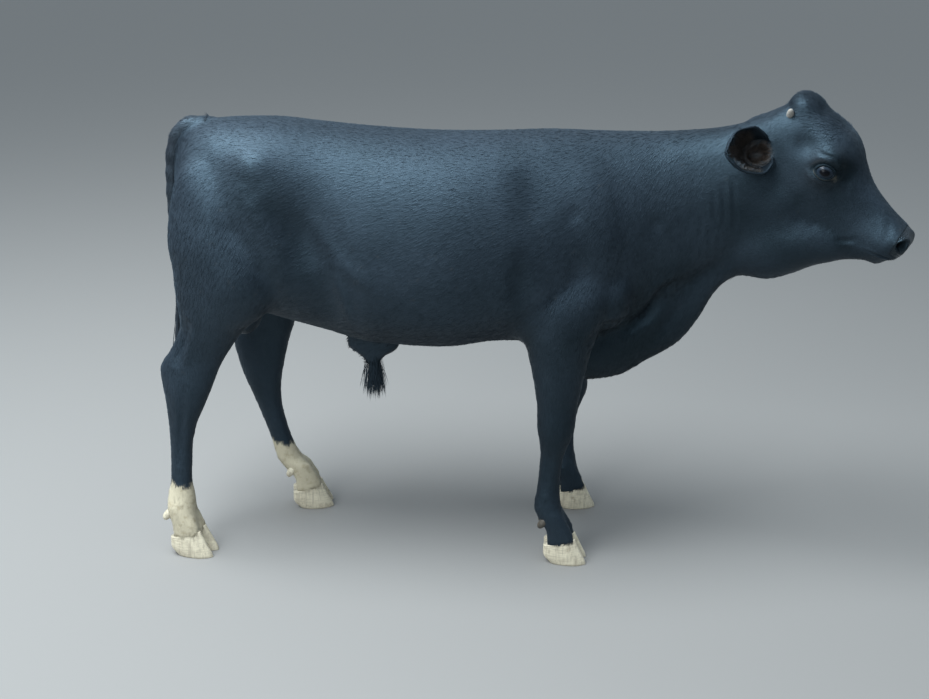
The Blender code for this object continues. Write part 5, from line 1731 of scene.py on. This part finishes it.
# %% [markdown]
# ## Black hair, and the finishes beside it
# Black hair outdoors looks a very dark blue-black with a bluish shine, because it mirrors the sky. That
# blue is painted in: into the hair's colour and into the tint of its shine. Skin and tufts share one
# group of nodes that turns the markings into colour, with mottling, a little dust and the painted shade
# and highlight of the tone. Fine strands are drawn in each material, and the gloss stays there too, as
# plain numbers.

# %% Helpers for node trees
def add_node(tree, kind, **values):
    """A node with its settings and the values of its inputs."""
    node = tree.nodes.new(kind)
    for name, value in values.items():
        if hasattr(node, name):
            setattr(node, name, value)
        else:
            node.inputs[name.replace("_", " ")].default_value = value
    return node


def new_group(name, inputs, outputs):
    """An empty node group with named sockets."""
    group = bpy.data.node_groups.new(name, "ShaderNodeTree")
    for title, kind, value in inputs:
        socket = group.interface.new_socket(title, in_out="INPUT", socket_type=kind)
        socket.default_value = value
    for title, kind in outputs:
        group.interface.new_socket(title, in_out="OUTPUT", socket_type=kind)
    return group, group.nodes.new("NodeGroupInput"), group.nodes.new("NodeGroupOutput")


def math_node(tree, operation, one, two=0.5):
    """Arithmetic on links or numbers."""
    node = tree.nodes.new("ShaderNodeMath")
    node.operation = operation
    for socket, value in zip(node.inputs, (one, two)):
        if isinstance(value, (int, float)):
            socket.default_value = value
        else:
            tree.links.new(value, socket)
    return node.outputs[0]


def plus(tree, one, two):
    return math_node(tree, "ADD", one, two)


def times(tree, one, two):
    return math_node(tree, "MULTIPLY", one, two)


def mix_value(tree, share, one, two):
    """one × (1 - share) + two × share."""
    back = math_node(tree, "SUBTRACT", 1.0, share)
    return plus(tree, times(tree, one, back), times(tree, two, share))


def mix_colour(tree, share, one, two, blend="MIX"):
    """Two colours, links or plain ones, mixed by a share."""
    node = tree.nodes.new("ShaderNodeMix")
    node.data_type = "RGBA"
    node.blend_type = blend
    for socket, value in ((node.inputs["Factor"], share), (node.inputs[6], one), (node.inputs[7], two)):
        if isinstance(value, (int, float, tuple)):
            socket.default_value = value
        else:
            tree.links.new(value, socket)
    return node.outputs[2]


def grey_of(tree, value):
    """One value as a grey colour."""
    node = tree.nodes.new("ShaderNodeCombineColor")
    for socket in node.inputs:
        tree.links.new(value, socket)
    return node.outputs[0]


def stretched(tree, vector, scale):
    """A vector scaled along each axis. A small number draws a pattern out that way."""
    node = tree.nodes.new("ShaderNodeMapping")
    node.inputs["Scale"].default_value = scale
    tree.links.new(vector, node.inputs["Vector"])
    return node.outputs[0]


def noise(tree, vector, scale, detail=3.0, rough=0.5):
    node = add_node(tree, "ShaderNodeTexNoise", Scale=scale, Detail=detail, Roughness=rough)
    tree.links.new(vector, node.inputs["Vector"])
    return node.outputs["Fac"]


# The black is painted a little blue: a painted reflection of the sky on the hair.
BLACK_HAIR = (0.0150, 0.0205, 0.0280, 1)
BROWN_HAIR = (0.1150, 0.0880, 0.0700, 1)
WHITE_HAIR = (0.5600, 0.5000, 0.3600, 1)
STAINED_HAIR = (0.3000, 0.2350, 0.1400, 1)
DUST = (0.1500, 0.1300, 0.1000, 1)
BARE_SKIN = (0.0200, 0.0210, 0.0230, 1)


# %% The group that paints hair
def hair_colour_group():
    """Markings to colour: black, brown and white hair by share, mottled, scaled by the tone with its painted
    shade and highlight, with stains and a little dust.
    """
    group, given, out = new_group(
        "hair_colour",
        [("Mottle", "NodeSocketFloat", 0.5), ("Dust", "NodeSocketFloat", 0.2)],
        [("Color", "NodeSocketColor"), ("White", "NodeSocketFloat"), ("Bare", "NodeSocketFloat")],
    )
    marks = add_node(group, "ShaderNodeAttribute", attribute_name="marking")
    parts = group.nodes.new("ShaderNodeSeparateColor")
    group.links.new(marks.outputs["Color"], parts.inputs[0])
    place = group.nodes.new("ShaderNodeTexCoord").outputs["Object"]
    coarse = mix_value(group, 0.4, noise(group, place, 7.0, 4.0, 0.6), noise(group, place, 42.0, 3.0, 0.6))
    fine = noise(group, place, 60.0, 3.0, 0.6)
    dark = mix_colour(group, parts.outputs["Green"], BLACK_HAIR, BROWN_HAIR)
    dark = mix_colour(group, marks.outputs["Alpha"], dark, BARE_SKIN)
    spread = times(group, math_node(group, "SUBTRACT", coarse, 0.5), given.outputs["Mottle"])
    # The tone, with its painted shade and painted highlight, scales the hair's colour.
    tone = times(group, parts.outputs["Blue"], 2.0)
    swing = times(group, tone, plus(group, 1.0, spread))
    dark = mix_colour(group, 1.0, dark, grey_of(group, swing), "MULTIPLY")
    stain = times(group, ramp_between(group, fine, 0.45, 0.75), 0.55)
    white = mix_colour(group, stain, WHITE_HAIR, STAINED_HAIR)
    colour = mix_colour(group, parts.outputs["Red"], dark, white)
    flecks = ramp_between(group, noise(group, place, 34.0, 5.0, 0.75), 0.60, 0.80)
    dust = times(group, flecks, given.outputs["Dust"])
    colour = mix_colour(group, times(group, dust, tone), colour, DUST)
    group.links.new(colour, out.inputs["Color"])
    group.links.new(parts.outputs["Red"], out.inputs["White"])
    group.links.new(marks.outputs["Alpha"], out.inputs["Bare"])
    return group


def ramp_between(tree, value, low, high):
    """0 at low, 1 at high, eased between."""
    node = add_node(tree, "ShaderNodeMapRange", interpolation_type="SMOOTHSTEP", From_Min=low, From_Max=high)
    tree.links.new(value, node.inputs["Value"])
    return node.outputs["Result"]


HAIR_COLOUR = hair_colour_group()


def place_group(tree, group, **values):
    """A group in a material, with its own numbers."""
    node = tree.nodes.new("ShaderNodeGroup")
    node.node_tree = group
    for name, value in values.items():
        node.inputs[name].default_value = value
    return node


def new_material(name, roughness, **constants):
    """A Principled material with its constant sockets set, and its tree."""
    made = bpy.data.materials.new(name)
    made.use_nodes = True
    shader = made.node_tree.nodes["Principled BSDF"]
    shader.inputs["Roughness"].default_value = roughness
    for title, value in constants.items():
        shader.inputs[title.replace("_", " ")].default_value = value
    return made, made.node_tree, shader


def bump(tree, shader, height, strength, distance):
    node = add_node(tree, "ShaderNodeBump", Strength=strength, Distance=distance)
    tree.links.new(height, node.inputs["Height"])
    tree.links.new(node.outputs["Normal"], shader.inputs["Normal"])


# %% Hair tufts
COAT_WEAR = dict(Mottle=1.60, Dust=0.14)
# The blue tints of specular and sheen are a painted reflection of the sky.
HAIR_SHINE = dict(
    Specular_IOR_Level=0.46,
    Specular_Tint=(0.48, 0.78, 1.0, 1),
    Sheen_Weight=0.05,
    Sheen_Roughness=0.35,
    Sheen_Tint=(0.40, 0.72, 1.0, 1),
)


def dull_white(tree, shader, rough, paint):
    """Roughness, with 0.3 more on white hair, which is duller than black."""
    rough = plus(tree, rough, times(tree, paint.outputs["White"], 0.3))
    tree.links.new(rough, shader.inputs["Roughness"])


def hair_material():
    """Painted by the markings, with strands drawn along each tuft in tone and height."""
    made, tree, shader = new_material("hair", 0.42, **HAIR_SHINE)
    paint = place_group(tree, HAIR_COLOUR, **COAT_WEAR)
    strands = add_node(tree, "ShaderNodeUVMap", uv_map="strands")
    streak = noise(tree, stretched(tree, strands.outputs[0], (5.0, 0.35, 1.0)), 1.0, 2.0, 0.5)
    shade = plus(tree, 0.55, times(tree, streak, 0.9))
    colour = mix_colour(tree, 1.0, paint.outputs["Color"], grey_of(tree, shade), "MULTIPLY")
    tree.links.new(colour, shader.inputs["Base Color"])
    dull_white(tree, shader, plus(tree, 0.38, times(tree, streak, 0.16)), paint)
    bump(tree, shader, streak, 0.35, 0.0006)
    return made


# %% Skin under the hair, with the wet nose
def skin_material():
    """Short fur as fine stretched bumps on the black hide, and pebbled wet skin on the nose."""
    made, tree, shader = new_material("hide", 0.45, **HAIR_SHINE)
    paint = place_group(tree, HAIR_COLOUR, **COAT_WEAR)
    tree.links.new(paint.outputs["Color"], shader.inputs["Base Color"])
    place = tree.nodes.new("ShaderNodeTexCoord").outputs["Object"]
    along = stretched(tree, place, (0.30, 1.0, 0.45))
    fur = mix_value(tree, 0.55, noise(tree, along, 620.0, 3.0, 0.6), noise(tree, along, 190.0, 3.0, 0.6))
    pebble = add_node(tree, "ShaderNodeTexVoronoi", feature="SMOOTH_F1", Scale=330.0)
    tree.links.new(place, pebble.inputs["Vector"])
    wet = ramp_between(tree, paint.outputs["Bare"], 0.60, 0.95)
    height = mix_value(tree, wet, fur, times(tree, pebble.outputs["Distance"], -1.2))
    bump(tree, shader, height, 0.85, 0.0019)
    dull = times(tree, paint.outputs["Bare"], 0.45)
    dull_white(tree, shader, mix_value(tree, wet, plus(tree, 0.52, dull), 0.36), paint)
    return made


# %% Hoof, horn and eye
HOOF_DIRT = (0.22, 0.165, 0.10, 1)


def horn_material(name, pale, dark, streaks, roughness):
    """Layers of horn: streaks down the wall, fine rings round it, and patches of dirt."""
    made, tree, shader = new_material(name, roughness, Specular_IOR_Level=0.45)
    place = tree.nodes.new("ShaderNodeTexCoord").outputs["Object"]
    streak = noise(tree, stretched(tree, place, (1.0, 1.0, 0.10)), 150.0, 4.0, 0.7)
    rings = noise(tree, stretched(tree, place, (0.12, 0.12, 1.0)), 300.0, 2.0, 0.5)
    share = times(tree, ramp_between(tree, streak, 0.42, 0.72), streaks)
    colour = mix_colour(tree, share, pale, dark)
    ringed = times(tree, ramp_between(tree, rings, 0.45, 0.75), 0.35)
    colour = mix_colour(tree, ringed, colour, dark)
    patches = noise(tree, place, 45.0, 5.0, 0.7)
    dirt = times(tree, ramp_between(tree, patches, 0.48, 0.74), 0.5)
    colour = mix_colour(tree, dirt, colour, HOOF_DIRT)
    tree.links.new(colour, shader.inputs["Base Color"])
    both = plus(tree, times(tree, streak, 0.6), rings)
    bump(tree, shader, both, 0.45, 0.0007)
    rough = plus(tree, roughness, times(tree, dirt, 0.4))
    tree.links.new(rough, shader.inputs["Roughness"])
    return made


def eye_material():
    """A dark iris that fills the opening, painted blue-grey for the sky's reflection, with a soft level pupil
    and a darker edge.
    """
    made, tree, shader = new_material("eye_wet", 0.26, Specular_IOR_Level=0.16)
    front = add_node(tree, "ShaderNodeUVMap", uv_map="front").outputs[0]
    parts = tree.nodes.new("ShaderNodeSeparateXYZ")
    tree.links.new(front, parts.inputs[0])
    across, up = parts.outputs[0], parts.outputs[1]

    def oval(wide, tall):
        """√((across / wide)² + (up / tall)²), which is 1 on the oval."""
        shares = (math_node(tree, "DIVIDE", across, wide), math_node(tree, "DIVIDE", up, tall))
        squares = [math_node(tree, "POWER", math_node(tree, "ABSOLUTE", share), 2.0) for share in shares]
        return math_node(tree, "SQRT", plus(tree, *squares))

    iris = ramp_between(tree, oval(1.02, 1.00), 0.94, 1.06)
    pupil = ramp_between(tree, oval(0.52, 0.34), 0.75, 1.25)
    fibres = noise(tree, front, 9.0, 4.0, 0.7)
    # The blue-grey of the iris is a painted reflection of the sky over a dark iris.
    grey = mix_colour(tree, fibres, (0.008, 0.013, 0.020, 1), (0.022, 0.034, 0.050, 1))
    inside = mix_colour(tree, pupil, (0.0015, 0.0020, 0.0035, 1), grey)
    edge = mix_colour(tree, fibres, (0.010, 0.013, 0.018, 1), (0.022, 0.028, 0.036, 1))
    tree.links.new(mix_colour(tree, iris, inside, edge), shader.inputs["Base Color"])
    return made


HAIR, HIDE, EYE = hair_material(), skin_material(), eye_material()
HOOF = horn_material("hoof_horn", (0.68, 0.62, 0.47, 1), (0.26, 0.22, 0.16, 1), 0.55, 0.45)
DARK_HORN = horn_material("rear_claw_horn", (0.085, 0.075, 0.060, 1), (0.020, 0.018, 0.016, 1), 0.8, 0.42)
BUD = horn_material("bud_horn", (0.36, 0.35, 0.32, 1), (0.14, 0.13, 0.12, 1), 0.5, 0.60)

# %% Put the finishes on
for made in (skin, tail):
    made.data.materials.clear()
    made.data.materials.append(HIDE)
    made.data.polygons.foreach_set("material_index", np.zeros(len(made.data.polygons), np.int32))
for made in (*COAT, POLL_HAIR, EAR_HAIR, SHEATH_HAIR, CORONET_HAIR, TAIL_COAT, SWITCH):
    made.data.materials.append(HAIR)
for made in EYES.values():
    made.data.materials.append(EYE)
for made in HORNS.values():
    made.data.materials.append(BUD)
for made in CLAWS.values():
    made.data.materials.append(HOOF)
for (foot, word), made in DEWCLAWS.items():
    made.data.materials.append(HOOF if foot.startswith("hind") else DARK_HORN)
print("materials:", sorted(m.name for m in bpy.data.materials if m.users))

# %% [markdown]
# ## Floor, light and camera
# A museum shows such a model on a plain floor under soft light. Black hair looks blue along the back
# because it mirrors what is over it, so the world is a pale blue that is brighter overhead, with one
# panel of light above and one to the side. The camera stands at a person's height, looking a little down.

# %% Floor
FLOOR_HALF = 40.0
floor_mesh = bpy.data.meshes.new("floor")
corners = [(x * FLOOR_HALF, y * FLOOR_HALF, 0) for x, y in ((-1, -1), (1, -1), (1, 1), (-1, 1))]
floor_mesh.from_pydata(corners, [], [[0, 1, 2, 3]])
floor = bpy.data.objects.new("floor", floor_mesh)
bpy.context.scene.collection.objects.link(floor)
plain = bpy.data.materials.new("floor_plain")
plain.use_nodes = True
plain.node_tree.nodes["Principled BSDF"].inputs["Base Color"].default_value = (0.235, 0.230, 0.220, 1)
plain.node_tree.nodes["Principled BSDF"].inputs["Roughness"].default_value = 0.9
floor.data.materials.append(plain)
print("floor", 2 * FLOOR_HALF, "m wide")

# %% Light
world = bpy.data.worlds.new("studio")
bpy.context.scene.world = world
world.use_nodes = True
air = world.node_tree
place_node = air.nodes.new("ShaderNodeTexCoord")
height_node = air.nodes.new("ShaderNodeSeparateXYZ")
shade_node = air.nodes.new("ShaderNodeValToRGB")
air.links.new(place_node.outputs["Generated"], height_node.inputs[0])
air.links.new(height_node.outputs["Z"], shade_node.inputs["Fac"])
shade_node.color_ramp.elements[0].position = 0.0
shade_node.color_ramp.elements[0].color = (0.13, 0.145, 0.16, 1)
shade_node.color_ramp.elements[1].position = 0.85
shade_node.color_ramp.elements[1].color = (1.12, 1.30, 1.46, 1)
air.links.new(shade_node.outputs["Color"], air.nodes["Background"].inputs["Color"])
air.nodes["Background"].inputs["Strength"].default_value = 0.68


def soft_light(name, place, target, size, power, colour):
    """A round panel of light that faces a point."""
    data = bpy.data.lights.new(name, "AREA")
    data.shape = "DISK"
    data.size = size
    data.energy = power
    data.color = colour
    light = bpy.data.objects.new(name, data)
    light.location = place
    way = np.array(target, float) - np.array(place, float)
    from_up = math.acos(-unit(way)[2])
    light.rotation_euler = (from_up, 0.0, math.atan2(way[1], way[0]) - math.pi / 2)
    bpy.context.scene.collection.objects.link(light)
    return light


soft_light("overhead", (-1.8, -0.7, 4.2), (-0.5, 0.0, 0.9), 2.8, 350, (0.88, 0.95, 1.0))
soft_light("side", (-2.4, -3.8, 2.6), (-0.5, 0.0, 0.8), 2.6, 85, (0.90, 0.96, 1.0))
bpy.context.scene.view_settings.view_transform = "Standard"

# %% Camera
CAMERA_PLACE = (-0.1365, -2.8875, 1.59)
CAMERA_PITCH = math.radians(20.2)
CAMERA_ROLL = math.radians(1.3)
PICTURE_SIZE = (929, 699)
FOCAL_PIXELS = 1194


def photo_camera():
    """A camera whose three axes come from how far it looks down and how far it leans."""
    ahead = np.array([0.0, math.cos(CAMERA_PITCH), -math.sin(CAMERA_PITCH)])
    right = np.array([1.0, 0.0, 0.0])
    up = np.cross(right, ahead)
    leaning = right * math.cos(CAMERA_ROLL) + up * math.sin(CAMERA_ROLL)
    risen = up * math.cos(CAMERA_ROLL) - right * math.sin(CAMERA_ROLL)
    turn = Matrix(np.stack([leaning, risen, -ahead], 1).tolist()).to_4x4()
    data = bpy.data.cameras.new("photo_camera")
    data.sensor_width = 36.0
    data.lens = FOCAL_PIXELS * data.sensor_width / PICTURE_SIZE[0]
    made = bpy.data.objects.new("photo_camera", data)
    made.matrix_world = Matrix.Translation(CAMERA_PLACE) @ turn
    bpy.context.scene.collection.objects.link(made)
    return made


bpy.context.scene.camera = photo_camera()
print("lens", round(bpy.context.scene.camera.data.lens, 2), "mm")
